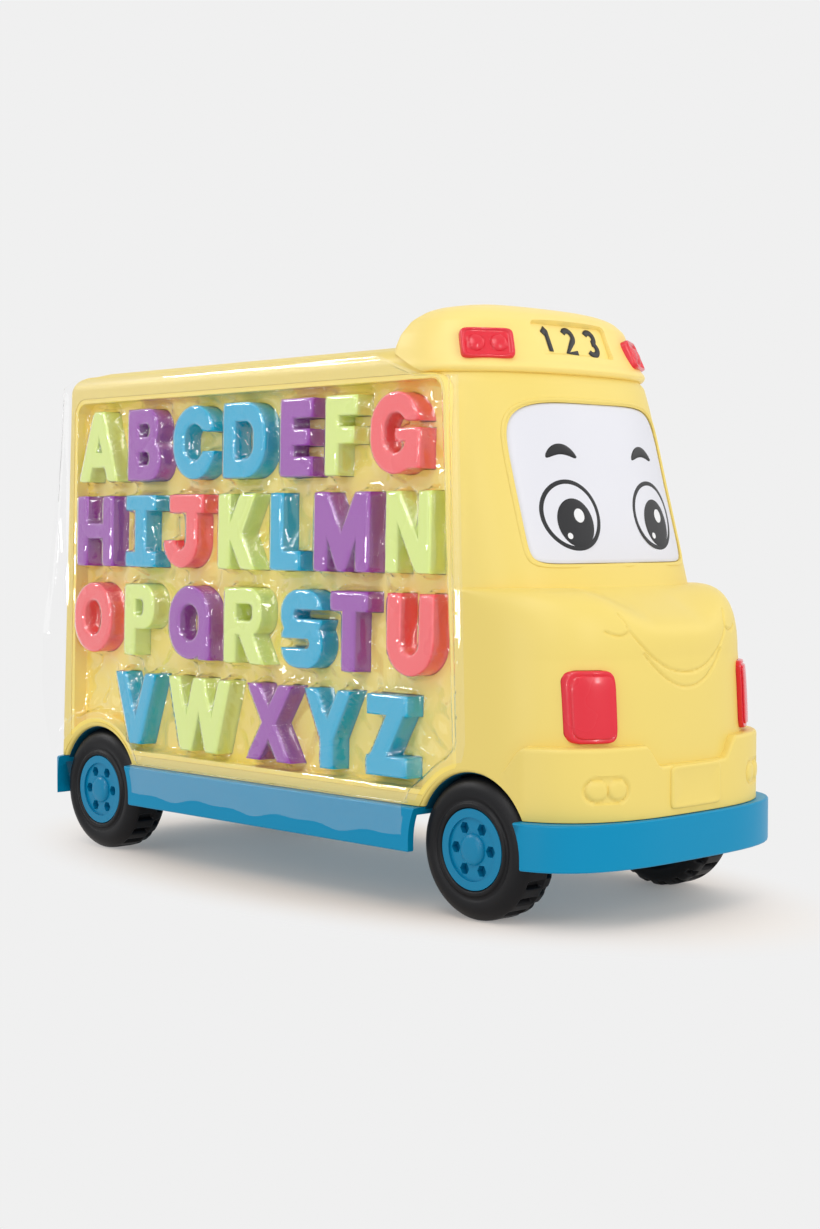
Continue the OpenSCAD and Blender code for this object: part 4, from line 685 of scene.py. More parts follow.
class BUS_OT_shell(bpy.types.Operator):
    """Body shell: one loft inside another, with the openings cut through, and the fascia, plate and bead."""
    bl_idname = "bus.shell"
    bl_label = "Body shell"

    SMILE_BACK, SMILE_HALF, SMILE_LOW, SMILE_HIGH = 120, 44, 84, 118
    TRAY_GAP, TRAY_OUT, LAMP_GAP, LAMP_CORNER, LAMP_REACH = 0.08, 20.0, 0.15, 4.4, (-6, 40)
    SCREEN_OUT, SCREEN_DEEP = 12.0, 1.9
    ARCH_REACH, ARCH_FACE, FLARE_DEEP, FLARE_OUT = (20.0, 90.0), 60.0, 1.4, 1.2
    MIDDLE, EDGE, FOLD, THICK, NARROW = 55.0, 1.6, 2.4, 6.5, 0.9
    END_LONG, END_DROP, END_SINK = 14.0, 10.0, 2.6
    FOG_LONG, FOG_APART, FOG_EDGE, DOME_HIGH = 0.82, 0.84, 0.9, 1.3
    PLATE_LEAN, PLATE_POWER, PLATE_INSETS = 0.012, 12, np.array([0, 0, 0.1, 0.45, 1.0, 1.6, 2.2, 8.0])
    PLATE_HEIGHTS = np.array([-5, -1.0, -0.45, -0.12, 0, -0.12, -0.3, -0.3])
    BEAD_RADIUS, BEAD_GROW, BEAD_SINK, BEAD_FLAT = 1.1, 0.9, 0.55, 0.85

    def execute(self, context):
        fine, rough = outline_angles(260, 14, 36), outline_angles(64, 8, 24)
        outer = body_rings(fine, 0.0, 100, 90, 30, 12)
        x, y, z = np.moveaxis(outer, -1, 0)
        front = (x > self.SMILE_BACK) & (np.abs(y) < self.SMILE_HALF)
        front &= (z > self.SMILE_LOW) & (z < self.SMILE_HIGH)
        outer[..., 0] -= np.where(front, smile_depth(y, z), 0) * sizes().smile_deep / MM
        inner = body_rings(rough, -WALL, 10, 12, 10, 5)
        inner[0, :, 2] = BASE_Z - 1
        piece = make_mesh("body_shell_skin", *closed_loft(outer))
        tools = [make_mesh("hollow", *closed_loft(inner)), self.tray_tool(), self.screen_tool()]
        tools += [self.lamp_tool(s) for s, _ in SIDES]
        tools += [self.arch_tool(x, s) for x in AXLES_X for s, _ in SIDES]
        cut(piece, tools)
        finish_piece(piece, "bus", surface("shell_plastic"), ["body_shell"])
        fascia = self.fascia()
        cut(fascia, [self.arch_tool(AXLES_X[0], s) for s, _ in SIDES])
        for extra in (fascia, self.plate(), self.bead()):
            finish_piece(extra, "bus", surface("shell_plastic"))
        return {"FINISHED"}

    def tray_tool(self):
        """Prism through the right wall in the outline of the tray's opening."""
        u, v = tray_outline(self.TRAY_GAP).T
        return prism("tray_tool", on_side(u, v, -TRAY_FOOT), on_side(u, v, self.TRAY_OUT))

    def screen_tool(self):
        """Slab that follows the cab's front, from outside it to just behind the windscreen panel."""
        rows = screen_grid(0.0, 40, 60)
        near, deep = rows.copy(), rows.copy()
        near[..., 0] += self.SCREEN_OUT
        deep[..., 0] -= self.SCREEN_DEEP
        return closed_sheet("screen_tool", near, deep)

    def lamp_tool(self, side):
        """Rounded prism along the bus for one headlamp button."""
        edge = rounded_box(LAMP_WIDE / 2 + self.LAMP_GAP, LAMP_TALL / 2 + self.LAMP_GAP, self.LAMP_CORNER)
        place = np.stack([0 * edge[:, 0], side * LAMP_Y + edge[:, 0], LAMP_Z + edge[:, 1]], 1)
        return prism("lamp_tool", *[place + [LAMP_BACK + reach, 0, 0] for reach in self.LAMP_REACH])

    def arch_tool(self, x, side):
        """Wheel arch as a lathe form: a cylinder that flares by a small radius where it meets the wall."""
        t = full_turn(128)
        flare = np.radians(np.linspace(0, 90, 6))
        near, far = self.ARCH_REACH
        wide = ARCH_RADIUS + self.FLARE_OUT
        foot = half_at(self.ARCH_FACE) - self.FLARE_DEEP
        y = np.concatenate([[near], foot + self.FLARE_DEEP * np.sin(flare), [far]])
        r = np.concatenate([[ARCH_RADIUS], ARCH_RADIUS + self.FLARE_OUT * (1 - np.cos(flare)), [wide]])
        rings = np.stack([x + r[:, None] * np.cos(t), side * y[:, None] + 0 * t,
                          AXLE_Z + r[:, None] * np.sin(t)], -1)
        return make_mesh("arch_tool", *closed_loft(rings))

    def fascia(self):
        """Lower front skin: a profile with a rounded top carried along the nose's outline, with fog lamps."""
        t = np.radians(np.linspace(-90, 90, 361))
        z_share = np.concatenate([np.linspace(0, 1, 34), np.ones(10)])
        curl = np.concatenate([np.zeros(34), np.linspace(0, 1, 12)[2:]])
        nose, depth = NOSE_X + FASCIA_PROUD, NOSE_ROUND + FASCIA_PROUD
        half = half_at(self.MIDDLE) + FASCIA_PROUD
        x0 = nose - depth + depth * np.cos(t).clip(0) ** (2 / FASCIA_POWER)
        y0 = half * signed_power(np.sin(t), 2 / FASCIA_POWER)
        step = smooth((np.abs(y0) - FASCIA_IN) / (FASCIA_OUT - FASCIA_IN))
        end = smooth((x0 - FASCIA_REAR) / self.END_LONG)
        z_top = FASCIA_LOW + (FASCIA_HIGH - FASCIA_LOW) * step - (1 - end) * self.END_DROP
        dx, dy = np.gradient(x0), np.gradient(y0)
        size = np.hypot(dx, dy)
        nx, ny = dy / size, -dx / size
        bend = curl * np.pi / 2
        z = BASE_Z + (z_top - self.EDGE - BASE_Z)[None] * z_share[:, None] + self.EDGE * np.sin(bend)[:, None]
        fold = self.EDGE * (1 - np.cos(bend)) + self.FOLD * smooth((curl - 0.7) / 0.3)
        back = -np.where(curl > 0, fold, 0)[:, None] - (1 - end)[None] * self.END_SINK
        back = back + self.fog_relief(y0[None] + 0 * z, z)
        rows = np.stack([x0 + nx * back, y0 + ny * back, z], -1)
        inner = rows[::-1].copy()
        inner[..., 0] -= self.THICK
        inner[..., 1] *= self.NARROW
        rings = np.concatenate([rows, inner])
        count, width = rings.shape[:2]
        faces = [tuple(f) for f in grid_faces(count, width, wrap_rows=True)]
        faces.append(tuple(np.arange(count) * width))
        faces.append(tuple(np.arange(count)[::-1] * width + width - 1))
        return make_mesh("fascia", rings.reshape(-1, 3), faces)

    def fog_relief(self, y, z):
        """Height of the fog lamps over the fascia: a shallow pill-shaped well with two round domes in it."""
        y = np.abs(y)
        across = np.maximum(0, np.abs(y - FOG_Y) - FOG_RADIUS * self.FOG_LONG)
        far = np.hypot(across, z - FOG_Z)
        well = -FOG_DEEP * (1 - smooth((far - FOG_RADIUS + 0.1) / self.FOG_EDGE))
        domes = 0 * y
        for side, _ in SIDES:
            d = np.hypot((y - FOG_Y - side * FOG_RADIUS * self.FOG_APART), z - FOG_Z)
            domes = np.maximum(domes, self.DOME_HIGH * np.sqrt(np.maximum(0, 1 - (d / FOG_DOME) ** 4)))
        return well + domes

    def plate(self):
        """Blank number plate: superellipse rings from its foot to its softly rounded face."""
        t = full_turn(96)
        inset, x = self.PLATE_INSETS, PLATE_X + self.PLATE_HEIGHTS
        high = (PLATE_HIGH - PLATE_LOW) / 2
        y = (PLATE_HALF - inset)[:, None] * signed_power(np.cos(t), 2 / self.PLATE_POWER)
        tall = np.minimum(high - inset, high)[:, None].clip(0.4)
        z = (PLATE_HIGH + PLATE_LOW) / 2 + tall * signed_power(np.sin(t), 2 / self.PLATE_POWER)
        rings = np.stack([x[:, None] - self.PLATE_LEAN * (z - PLATE_LOW) + 0 * t, y, z], -1)
        return make_mesh("number_plate", *closed_loft(rings))

    def bead(self):
        """Round bead along the windscreen opening: a small circle carried round the panel's outline."""
        edge = screen_edge(self.BEAD_GROW, 240)
        t = full_turn(12)
        away = edge - edge.mean(0)
        away = away / np.linalg.norm(away, axis=1, keepdims=True)
        x = front_at(edge[:, 0], edge[:, 1])
        y = edge[:, 0, None] + away[:, 0, None] * self.BEAD_RADIUS * np.cos(t)
        z = edge[:, 1, None] + away[:, 1, None] * self.BEAD_RADIUS * np.cos(t)
        x = x[:, None] - self.BEAD_SINK + self.BEAD_FLAT * self.BEAD_RADIUS * np.sin(t)
        rings = np.stack([x, y, z], -1)
        faces = grid_faces(*rings.shape[:2], True, True)
        return make_mesh("windscreen_bead", rings.reshape(-1, 3), faces, sharp=80)


def screen_edge(grow, count):
    """Outline of the windscreen in y and z: nearly square foot, round upper corners and an arched head."""
    t = np.radians(np.linspace(0, 360, count, endpoint=False) - 90)
    power = np.where(np.sin(t) < 0, 14.0, 5.2)
    mid, half_high = (SCREEN_LOW + SCREEN_HIGH) / 2, (SCREEN_HIGH - SCREEN_LOW) / 2 + grow
    y = (SCREEN_HALF + grow) * signed_power(np.cos(t), 2 / power)
    z = mid + half_high * signed_power(np.sin(t), 2 / power)
    return np.stack([y, z], 1)


def screen_grid(grow, rings, count):
    """Windscreen surface: the outline drawn in towards its centre, each point on the cab's front."""
    edge = screen_edge(grow, count * 4)
    mid = np.array([0, (SCREEN_LOW + SCREEN_HIGH) / 2])
    share = np.linspace(1, 0.02, rings)[:, None, None]
    flat = mid + (edge - mid) * share
    return np.concatenate([front_at(flat[..., 0], flat[..., 1])[..., None], flat], -1)


def closed_sheet(name, near, deep):
    """A closed plate between two like grids of rings, each ending in a small centre face."""
    return make_mesh(name, *closed_loft(np.concatenate([deep[::-1], near])))


class BUS_OT_windscreen(bpy.types.Operator):
    """Windscreen panel with a plain printed face: round eyes, pupils, glints and brows."""
    bl_idname = "bus.windscreen"
    bl_label = "Windscreen"

    GAP, PANEL_BACK, RIM_BACK, PANEL_DEEP = 0.3, 0.5, 0.35, 1.7
    EYE_AT, EYE_HALF, EYE_LINE, EYE_LIFT = (24.4, 153.6), (13.2, 12.8), 0.85, 0.08
    # name, place in the eye, half sizes, lift and finish of each printed disc
    DISCS = (("pupil_", (1.2, -3.0), (8.6, 9.4), 0.10, "ink_print"),
             ("glint_", (3.2, -0.2), (2.5, 2.7), 0.16, "glint_print"),
             ("small_glint_", (-3.0, -8.0), (1.2, 1.2), 0.16, "glint_print"))
    BROW_Y, BROW_Z, BROW_HALF, BROW_BOW, BROW_THICK, BROW_LIFT = 24.0, 179.0, 7.4, 3.0, 2.1, 0.35

    def execute(self, context):
        near, deep = screen_grid(-self.GAP, 40, 60), screen_grid(-self.GAP, 40, 60)
        near[..., 0] -= self.PANEL_BACK
        near[0, :, 0] -= self.RIM_BACK
        deep[..., 0] -= self.PANEL_DEEP
        panel = closed_sheet("windscreen_skin", near, deep)
        finish_piece(panel, "bus", surface("screen_plastic"), ["windscreen_panel"])
        for side, name in SIDES:
            y, z = side * self.EYE_AT[0], self.EYE_AT[1]
            self.ring("eye_ring_" + name, (y, z))
            for label, shift, half, lift, look in self.DISCS:
                self.disc(label + name, (y + shift[0], z + shift[1]), half, lift, surface(look))
            self.brow("brow_" + name, side)
        return {"FINISHED"}

    def place(self, y, z, lift):
        """Points on the windscreen's face, lifted a little."""
        return np.stack([front_at(y, z) - self.PANEL_BACK + lift, y, z], -1)

    def ring(self, name, at):
        """Printed ring: a flat oval section carried round an ellipse."""
        t, s = full_turn(96)[:, None], full_turn(10)[None]
        a, b = [h + self.EYE_LINE * np.cos(s) for h in self.EYE_HALF]
        points = self.place(at[0] + a * np.cos(t), at[1] + b * np.sin(t), self.EYE_LIFT * np.sin(s))
        piece = make_mesh(name, points.reshape(-1, 3), grid_faces(96, 10, True, True), sharp=80)
        finish_piece(piece, "bus", surface("ink_print"))

    def disc(self, name, at, half, lift, material):
        """Printed disc: ellipse rings drawn in towards the centre, on a thin closed plate."""
        t = full_turn(64)
        share = np.array([0.03, 0.4, 0.75, 0.97, 1.0, 0.97, 0.75, 0.4, 0.03])[:, None]
        high = np.array([-0.1, -0.1, -0.1, -0.1, 0.5 * lift, lift, lift, lift, lift])[:, None]
        y, z = at[0] + half[0] * share * np.cos(t), at[1] + half[1] * share * np.sin(t)
        points = self.place(y, z, high + 0 * t)
        piece = make_mesh(name, *closed_loft(points))
        finish_piece(piece, "bus", material)

    def brow(self, name, side):
        """Printed brow: an oval section along a low arch, thick in the middle and round at both ends."""
        k, s = np.linspace(-1, 1, 48)[:, None], full_turn(12)[None]
        y = side * self.BROW_Y + self.BROW_HALF * k
        z = self.BROW_Z - self.BROW_BOW * k * k
        thick = self.BROW_THICK * np.sqrt(np.maximum(0.0004, 1 - np.abs(k) ** 3))
        points = self.place(y + 0 * s, z + thick * np.cos(s), self.BROW_LIFT * np.sin(s))
        piece = make_mesh(name, *closed_loft(points))
        finish_piece(piece, "bus", surface("ink_print"))


class BUS_OT_visor(bpy.types.Operator):
    """Roof visor as one loft, cut on a slant at its rear, with a sunk sign that holds plain numbers."""
    bl_idname = "bus.visor"
    bl_label = "Roof visor"

    LIP_ROUND, LIP_SHARE, CUT_LOW, CUT_HALF, ROOF_GAP = 2.4, 0.085, 190, 90, 0.2
    # growth, corner radius and height over the sign of each ring of its cutter
    SIGN_RINGS = ((0, 2.0, -SIGN_DEEP), (0, 2.0, -0.5), (1, 3.0, 1.5), (1, 3.0, 10))
    DIGIT_SCALE, DIGIT_PITCH, DIGIT_STROKE, DIGIT_LIFT = 1.25, 13.0, 1.3, 0.2

    def execute(self, context):
        share = np.unique(np.concatenate([np.linspace(0, 1, 46), np.linspace(0, 0.12, 16), [0.16]]))
        nose, depth, half, tail, tail_depth = fine_profile(VISOR_SHARES, share, reach=0.035)
        lip = self.LIP_ROUND * (1 - np.sqrt(1 - np.clip(1 - share / self.LIP_SHARE, 0, 1) ** 2))
        flat = outline(outline_angles(150, 4, 60), VISOR_NOSE - nose * VISOR_DEPTH - lip,
                       depth * VISOR_DEPTH - lip, half * VISOR_HALF - lip,
                       VISOR_TAIL + tail * VISOR_DEPTH, tail_depth * VISOR_TAIL_DEPTH)
        rings = at_heights(flat, VISOR_LOW + (VISOR_TOP - VISOR_LOW) * share)
        piece = make_mesh("roof_visor_skin", *closed_loft(rings))
        seat = ROOF_Z - self.ROOF_GAP
        side = np.array([[0, self.CUT_LOW], [VISOR_LIP_X, self.CUT_LOW], [VISOR_LIP_X, VISOR_LOW],
                         [VISOR_TAIL + 1, seat], [0, seat]])
        wedge = np.stack([side[:, 0], 0 * side[:, 0], side[:, 1]], 1)
        rear = prism("rear_tool", wedge + [0, -self.CUT_HALF, 0], wedge + [0, self.CUT_HALF, 0])
        cut(piece, [rear, self.sign_tool()], sharp=30)
        # the visor's lighter, whiter yellow is painted sheen
        finish_piece(piece, "bus", surface("visor_plastic"), ["roof_visor"])
        self.numbers()
        return {"FINISHED"}

    def on_sign(self, flat, lift):
        """Points of the sign's frame: right, up and outwards from its place on the visor."""
        right = np.array([0, 1.0, 0])
        out = np.array([math.cos(SIGN_LEAN), 0, math.sin(SIGN_LEAN)])
        up = np.cross(out, right)
        return np.array(SIGN_AT) + flat[..., :1] * right + flat[..., 1:] * up + lift * out

    def sign_tool(self):
        """Rounded block that sinks the sign's field below the visor's face."""
        tall, wide = SIGN_SIZE
        rings = [self.on_sign(rounded_box(wide / 2 + grow, tall / 2 + grow, corner), lift)
                 for grow, corner, lift in self.SIGN_RINGS]
        return make_mesh("sign_tool", *closed_loft(np.stack(rings)))

    def numbers(self):
        """Plain numbers on the sign: strokes of even width carried along lines and arcs."""
        a, b, c = [np.radians(np.linspace(*ends, 20)) for ends in ((150, -52), (150, -80), (80, -150))]
        one = np.array([[-1.5, 2.2], [0.3, 4.0], [0.3, 3.4], [0.3, -4]])
        two = np.vstack([np.stack([2.2 * np.cos(a), 1.8 + 2.2 * np.sin(a)], 1), [[-2.3, -4.0], [2.5, -4.0]]])
        three = np.vstack([np.stack([2.0 * np.cos(b), 2.0 + 2.0 * np.sin(b)], 1),
                           np.stack([2.2 * np.cos(c), -1.9 + 2.1 * np.sin(c)], 1)])
        s = full_turn(8)
        stroke = self.DIGIT_STROKE * signed_power(np.cos(s), 0.6)
        lift = self.DIGIT_LIFT * np.sin(s)[None, :, None] - SIGN_DEEP + self.DIGIT_LIFT
        for name, line, shift in (("one", one, -1), ("two", two, 0), ("three", three, 1)):
            line = line * self.DIGIT_SCALE + [shift * self.DIGIT_PITCH, 0]
            step = np.gradient(line, axis=0)
            normal = np.stack([-step[:, 1], step[:, 0]], 1) / np.linalg.norm(step, axis=1, keepdims=True)
            points = self.on_sign(line[:, None] + normal[:, None] * stroke[None, :, None], lift)
            piece = make_mesh("sign_" + name, *closed_loft(points), sharp=60)
            finish_piece(piece, "bus", surface("ink_print"))


class BUS_OT_lamps(bpy.types.Operator):
    """Headlamp buttons and roof lamps: pads of superellipse rings with a raised field or round domes."""
    bl_idname = "bus.lamps"
    bl_label = "Lamps"

    # each ring's share of the pad's size, and its height over the surface
    PAD_SHARE = np.array([0.98, 1, 1, 0.99, 0.975, 0.95, 0.92, 0.885, 0.87, 0.865, 0.85, 0.82, 0.6, 0.4, 0.2,
                          0.04])
    PAD_LIFT = np.array([0, 0, 1.3, 1.8, 2.15, 2.3, 2.3, 2.15, 2.1, 2.6, 2.95, 3.05, 3.15, 3.2, 3.22, 3.23])
    RIM_SHARE = np.concatenate([[1, 1, 1, 0.985, 0.955, 0.91, 0.87, 0.84, 0.81], np.linspace(0.77, 0.02, 34)])
    RIM_LIFT = np.concatenate([[-2.0, 0.9, 1.7, 2.3, 2.6, 2.65, 2.5, 2.1, 1.85], np.full(34, 1.8)])
    DOME_APART, DOME_RADIUS, DOME_HIGH = 4.6, 3.6, 1.5
    POWER_WIDE, POWER_TALL = 6, 7

    def execute(self, context):
        for side, name in SIDES:
            self.headlamp(side, name)
            self.roof_lamp(side, name)
        return {"FINISHED"}

    def headlamp(self, side, name):
        """Pad that follows the hood's front: a rounded border and a raised, slightly swelling field."""
        t, share = full_turn(112), self.PAD_SHARE[:, None]
        y = side * LAMP_Y + share * LAMP_WIDE / 2 * signed_power(np.cos(t), 2 / self.POWER_WIDE)
        z = LAMP_Z + share * LAMP_TALL / 2 * signed_power(np.sin(t), 2 / self.POWER_TALL)
        x = front_at(y, z) + self.PAD_LIFT[:, None]
        x[:2] = LAMP_BACK
        piece = make_mesh("headlamp_pad_" + name, *closed_loft(np.stack([x, y, z], -1)), sharp=50)
        finish_piece(piece, "headlamp_" + name, surface("lamp_plastic"),
                     ["headlamp_button_" + name])

    def roof_lamp(self, side, name):
        """Plate with a rounded rim and two domes beside each other, on the visor's slanted front."""
        t, share = full_turn(112), self.RIM_SHARE[:, None]
        a = share * ROOF_LAMP_SIZE[0] / 2 * signed_power(np.sin(t), 2 / self.POWER_TALL)
        b = share * ROOF_LAMP_SIZE[1] / 2 * signed_power(np.cos(t), 2 / self.POWER_TALL)
        far = np.minimum(np.hypot(a, b - self.DOME_APART), np.hypot(a, b + self.DOME_APART))
        dome = self.DOME_HIGH * np.sqrt(np.maximum(0, 1 - (far / self.DOME_RADIUS) ** 2))
        high = self.RIM_LIFT[:, None] + dome * smooth((0.86 - share) / 0.08)
        lean, turn = ROOF_LAMP_LEAN, side * ROOF_LAMP_TURN
        out = np.array([math.cos(lean) * math.cos(turn), math.cos(lean) * math.sin(turn), math.sin(lean)])
        across = np.array([-math.sin(turn), math.cos(turn), 0])
        up = np.cross(out, across)
        at = np.array([ROOF_LAMP_AT[0], side * ROOF_LAMP_AT[1], ROOF_LAMP_AT[2]])
        points = at + a[..., None] * up + b[..., None] * across + high[..., None] * out
        piece = make_mesh("roof_lamp_pad_" + name, *closed_loft(points), sharp=50)
        finish_piece(piece, "bus", surface("lamp_plastic"), ["roof_lamp_" + name])


class BUS_OT_wheels(bpy.types.Operator):
    """Tyres as lathe forms with a notched tread, hubs with softened edges and caps in a darker blue of painted
    shade, and deep blue arch linings of painted shade.
    """
    bl_idname = "bus.wheels"
    bl_label = "Wheels"

    # the outer band of notches lies about a depth, the inner one on the inner shoulder
    BAND_AT, BAND_NARROW, BAND_REACH, BAND_EDGE = 9.0, 2.4, 6.2, 0.7
    NOTCH_HALF, NOTCH_EDGE, NOTCH_DEEP = 1.3, 0.6, 2.2
    CAP_RADIUS, CAP_POWER, CAP_FOOT, CAP_RIM, CAP_HIGH = 6.2, 0.45, 60.0, 62.6, 2.5
    LINER_BACK, LINER_FACE, LINER_END, LINER_HOLE, LINER_RADII = 2.0, 60, (0.7, 1.2), 6.0, (28.75, 29.12)

    def execute(self, context):
        for x, axle in zip(AXLES_X, ("front", "rear")):
            for side, name in SIDES:
                wheel = "%s_%s" % (axle, name)
                self.tyre(x, axle, side, wheel)
                # the hubs' darker blue is painted shade
                dressed_node("hub_" + wheel, surface("hub_plastic"), sizes().hub_edge, segments=2)
                self.hub_cap(x, axle, side, wheel)
                # a dark lining in each arch as painted shade
                self.liner(x, side, wheel)
        return {"FINISHED"}

    def round_axle(self, x, side, radius, depth, t):
        """Points at radii and places along the axle, at angles round it."""
        return np.stack([x + radius * np.cos(t), side * depth + 0 * t, AXLE_Z + radius * np.sin(t)], -1)

    def profile(self):
        """Tyre section as radius and depth from the outer face: corners rounded by repeated corner cutting."""
        r, w, h = TYRE_RADIUS, TYRE_WIDTH, HUB_RADIUS + 0.1
        half = np.array([[h, w / 2], [h, 1.4], [h + 0.5, 0.1], [h + 1.9, 0.0], [h + 2.5, 0.9], [h + 3.4, 1.0],
                         [h + 4.6, 0.25], [r - 4.8, 0.1], [r - 2.4, 1.2], [r - 0.4, 3.4], [r, 5.4], [r, w / 2]])
        other = half[::-1].copy()
        other[:, 1] = w - other[:, 1]
        line = np.vstack([half, other[1:-1]])
        for _ in range(2):
            following = np.roll(line, -1, axis=0)
            line = np.stack([0.75 * line + 0.25 * following, 0.25 * line + 0.75 * following], 1).reshape(-1, 2)
        return dense(line, 0.9)

    def tyre(self, x, axle, side, wheel):
        """Section carried round the axle, sunk into notches in two bands that stand half a step apart."""
        notches = sizes().tread_notches
        radius, depth = self.profile().T[..., None]
        t = full_turn(notches * 18)
        phase = t[None] * notches / (2 * np.pi)
        gap = np.zeros(np.broadcast_shapes(radius.shape, phase.shape))
        for shift, reach in ((0.0, np.abs(depth - self.BAND_AT) + self.BAND_NARROW), (0.5, TYRE_WIDTH - depth)):
            off = np.abs((phase + shift) % 1 - 0.5) * 2 * np.pi * TYRE_RADIUS / notches
            gap = np.maximum(gap, (1 - smooth((off - self.NOTCH_HALF) / self.NOTCH_EDGE))
                             * (1 - smooth((reach - self.BAND_REACH) / self.BAND_EDGE)))
        radius = radius - gap * np.maximum(0, radius - (TYRE_RADIUS - self.NOTCH_DEEP))
        rings = self.round_axle(x, side, radius, WHEEL_FACE - depth, t)
        piece = make_mesh("tyre_tread_" + wheel, rings.reshape(-1, 3),
                          grid_faces(*rings.shape[:2], True, True), sharp=60)
        finish_piece(piece, axle + "_wheelset", surface("tyre_rubber"), ["tyre_" + wheel])

    def hub_cap(self, x, axle, side, wheel):
        """Low round cap in the hub's middle: rings of a flattened dome."""
        a = np.radians(np.linspace(0, 88, 12))
        r = np.append(self.CAP_RADIUS, self.CAP_RADIUS * np.cos(a) ** self.CAP_POWER)[:, None]
        y = np.append(self.CAP_FOOT, self.CAP_RIM + self.CAP_HIGH * np.sin(a))[:, None]
        piece = make_mesh("hub_cap_" + wheel, *closed_loft(self.round_axle(x, side, r, y, full_turn(48))))
        # the cap shares the hubs' darker blue of painted shade
        finish_piece(piece, axle + "_wheelset", surface("hub_plastic"))

    def liner(self, x, side, wheel):
        """A thin half pipe with a closed inner end, a section carried round the arch: a lining over the wheel
        well whose deep blue is painted shade.
        """
        t = np.radians(np.linspace(26, 154, 56))[:, None]
        mouth = half_at(self.LINER_FACE) - self.LINER_BACK
        back, face = [TUB_IN + end for end in self.LINER_END]
        (inner, outer), hole = self.LINER_RADII, self.LINER_HOLE
        y = np.array([mouth, face, face, back, back, mouth])
        r = np.array([inner, inner, hole, hole, outer, outer])
        piece = make_mesh("arch_liner_" + wheel, *closed_loft(self.round_axle(x, side, r, y, t)), sharp=30)
        finish_piece(piece, "bus", surface("well_plastic"))


class BUS_OT_chassis(bpy.types.Operator):
    """Chassis with its bumpers and skirts, edges rounded, and the battery door."""
    bl_idname = "bus.chassis"
    bl_label = "Chassis"

    BUMPER_TOP, BUMPER_FOOT, BUMPER_LONG, BUMPER_WIDE = 41.0, 23.5, 169, 69.4

    def execute(self, context):
        blue = surface("chassis_plastic")
        dressed_node("chassis_base", blue, sizes().chassis_edge, least=50, choose=self.on_bumper)
        dressed_node("battery_door", blue, sizes().door_edge, segments=2)
        return {"FINISHED"}

    def on_bumper(self, edge):
        """True for a level edge along the outside of bumpers and skirts, at their top or foot."""
        a, b = (v.co / MM for v in edge.verts)
        off = min(abs(a.z - self.BUMPER_TOP), abs(a.z - self.BUMPER_FOOT))
        if abs(a.z - b.z) > 0.01 or off > 0.05 or (a - b).length < 0.5:
            return False
        walls = [f.normal for f in edge.link_faces if abs(f.normal.z) < 0.3]
        far = (abs(a.x) / self.BUMPER_LONG) ** 3 + (abs(a.y) / self.BUMPER_WIDE) ** 3
        if len(walls) != 1 or far <= 0.88:
            return False
        return walls[0].x * a.x / self.BUMPER_LONG ** 2 + walls[0].y * a.y / self.BUMPER_WIDE ** 2 > 0


class BUS_OT_letters(bpy.types.Operator):
    """Tray and letters: the letters' front edges are rounded, the tray keeps its sockets."""
    bl_idname = "bus.letters"
    bl_label = "Letters"

    CORNER_ROOM = 0.0018

    def execute(self, context):
        # the tray's lighter, warmer yellow is painted light from the bounces under the cover
        dressed_node("letter_tray", surface("tray_plastic"))
        for node in LETTERS:
            dressed_node(node, letter_plastic(NODE_SLOT[node]), sizes().letter_edge, segments=4,
                         choose=self.at_front, room=self.CORNER_ROOM)
        return {"FINISHED"}

    def at_front(self, edge):
        """True for an edge between a letter's front face and one of its sides."""
        front = [looks_out(f) for f in edge.link_faces]
        return any(front) and not all(front)


def letter_mask(u, v):
    """1 where a grid of places on the letter side lies on a letter's front face, from its triangles."""
    hit = np.zeros(u.shape)
    c, s = math.cos(SIDE_LEAN), math.sin(SIDE_LEAN)
    for node in LETTERS:
        mesh = frame["nodes"][node].data
        mesh.calc_loop_triangles()
        points = np.empty(len(mesh.vertices) * 3)
        mesh.vertices.foreach_get("co", points)
        points = points.reshape(-1, 3) / MM
        corners = np.empty(len(mesh.loop_triangles) * 3, int)
        mesh.loop_triangles.foreach_get("vertices", corners)
        rise = (points[:, 1] + HALF_WIDTH) * s + (points[:, 2] - BASE_Z) * c
        lift = -(points[:, 1] + HALF_WIDTH) * c + (points[:, 2] - BASE_Z) * s
        flat = np.stack([points[:, 0], rise], 1)[corners.reshape(-1, 3)]
        front = lift[corners.reshape(-1, 3)].min(1) > LETTER_FRONT - 0.05
        for a, b, d in flat[front]:
            low, high = np.minimum(np.minimum(a, b), d), np.maximum(np.maximum(a, b), d)
            i = slice(*np.searchsorted(u[0], [low[0], high[0]]))
            j = slice(*np.searchsorted(v[:, 0], [low[1], high[1]]))
            pu, pv = u[j, i], v[j, i]
            sides = [(q[0] - p[0]) * (pv - p[1]) - (q[1] - p[1]) * (pu - p[0])
                     for p, q in ((a, b), (b, d), (d, a))]
            inside = np.all([k >= -1e-6 for k in sides], 0) | np.all([k <= 1e-6 for k in sides], 0)
            hit[j, i] = np.maximum(hit[j, i], inside)
    return hit


def blurred(field, step, width):
    """A field smoothed by a bell curve of a width, through its Fourier transform."""
    pad = int(4 * width / step) + 1
    wide = np.pad(field, pad, mode="edge")
    fu = np.fft.fftfreq(wide.shape[1], step)
    fv = np.fft.fftfreq(wide.shape[0], step)
    damp = np.exp(-2 * (np.pi * width) ** 2 * (fu[None] ** 2 + fv[:, None] ** 2))
    return np.real(np.fft.ifft2(np.fft.fft2(wide) * damp))[pad:-pad, pad:-pad]


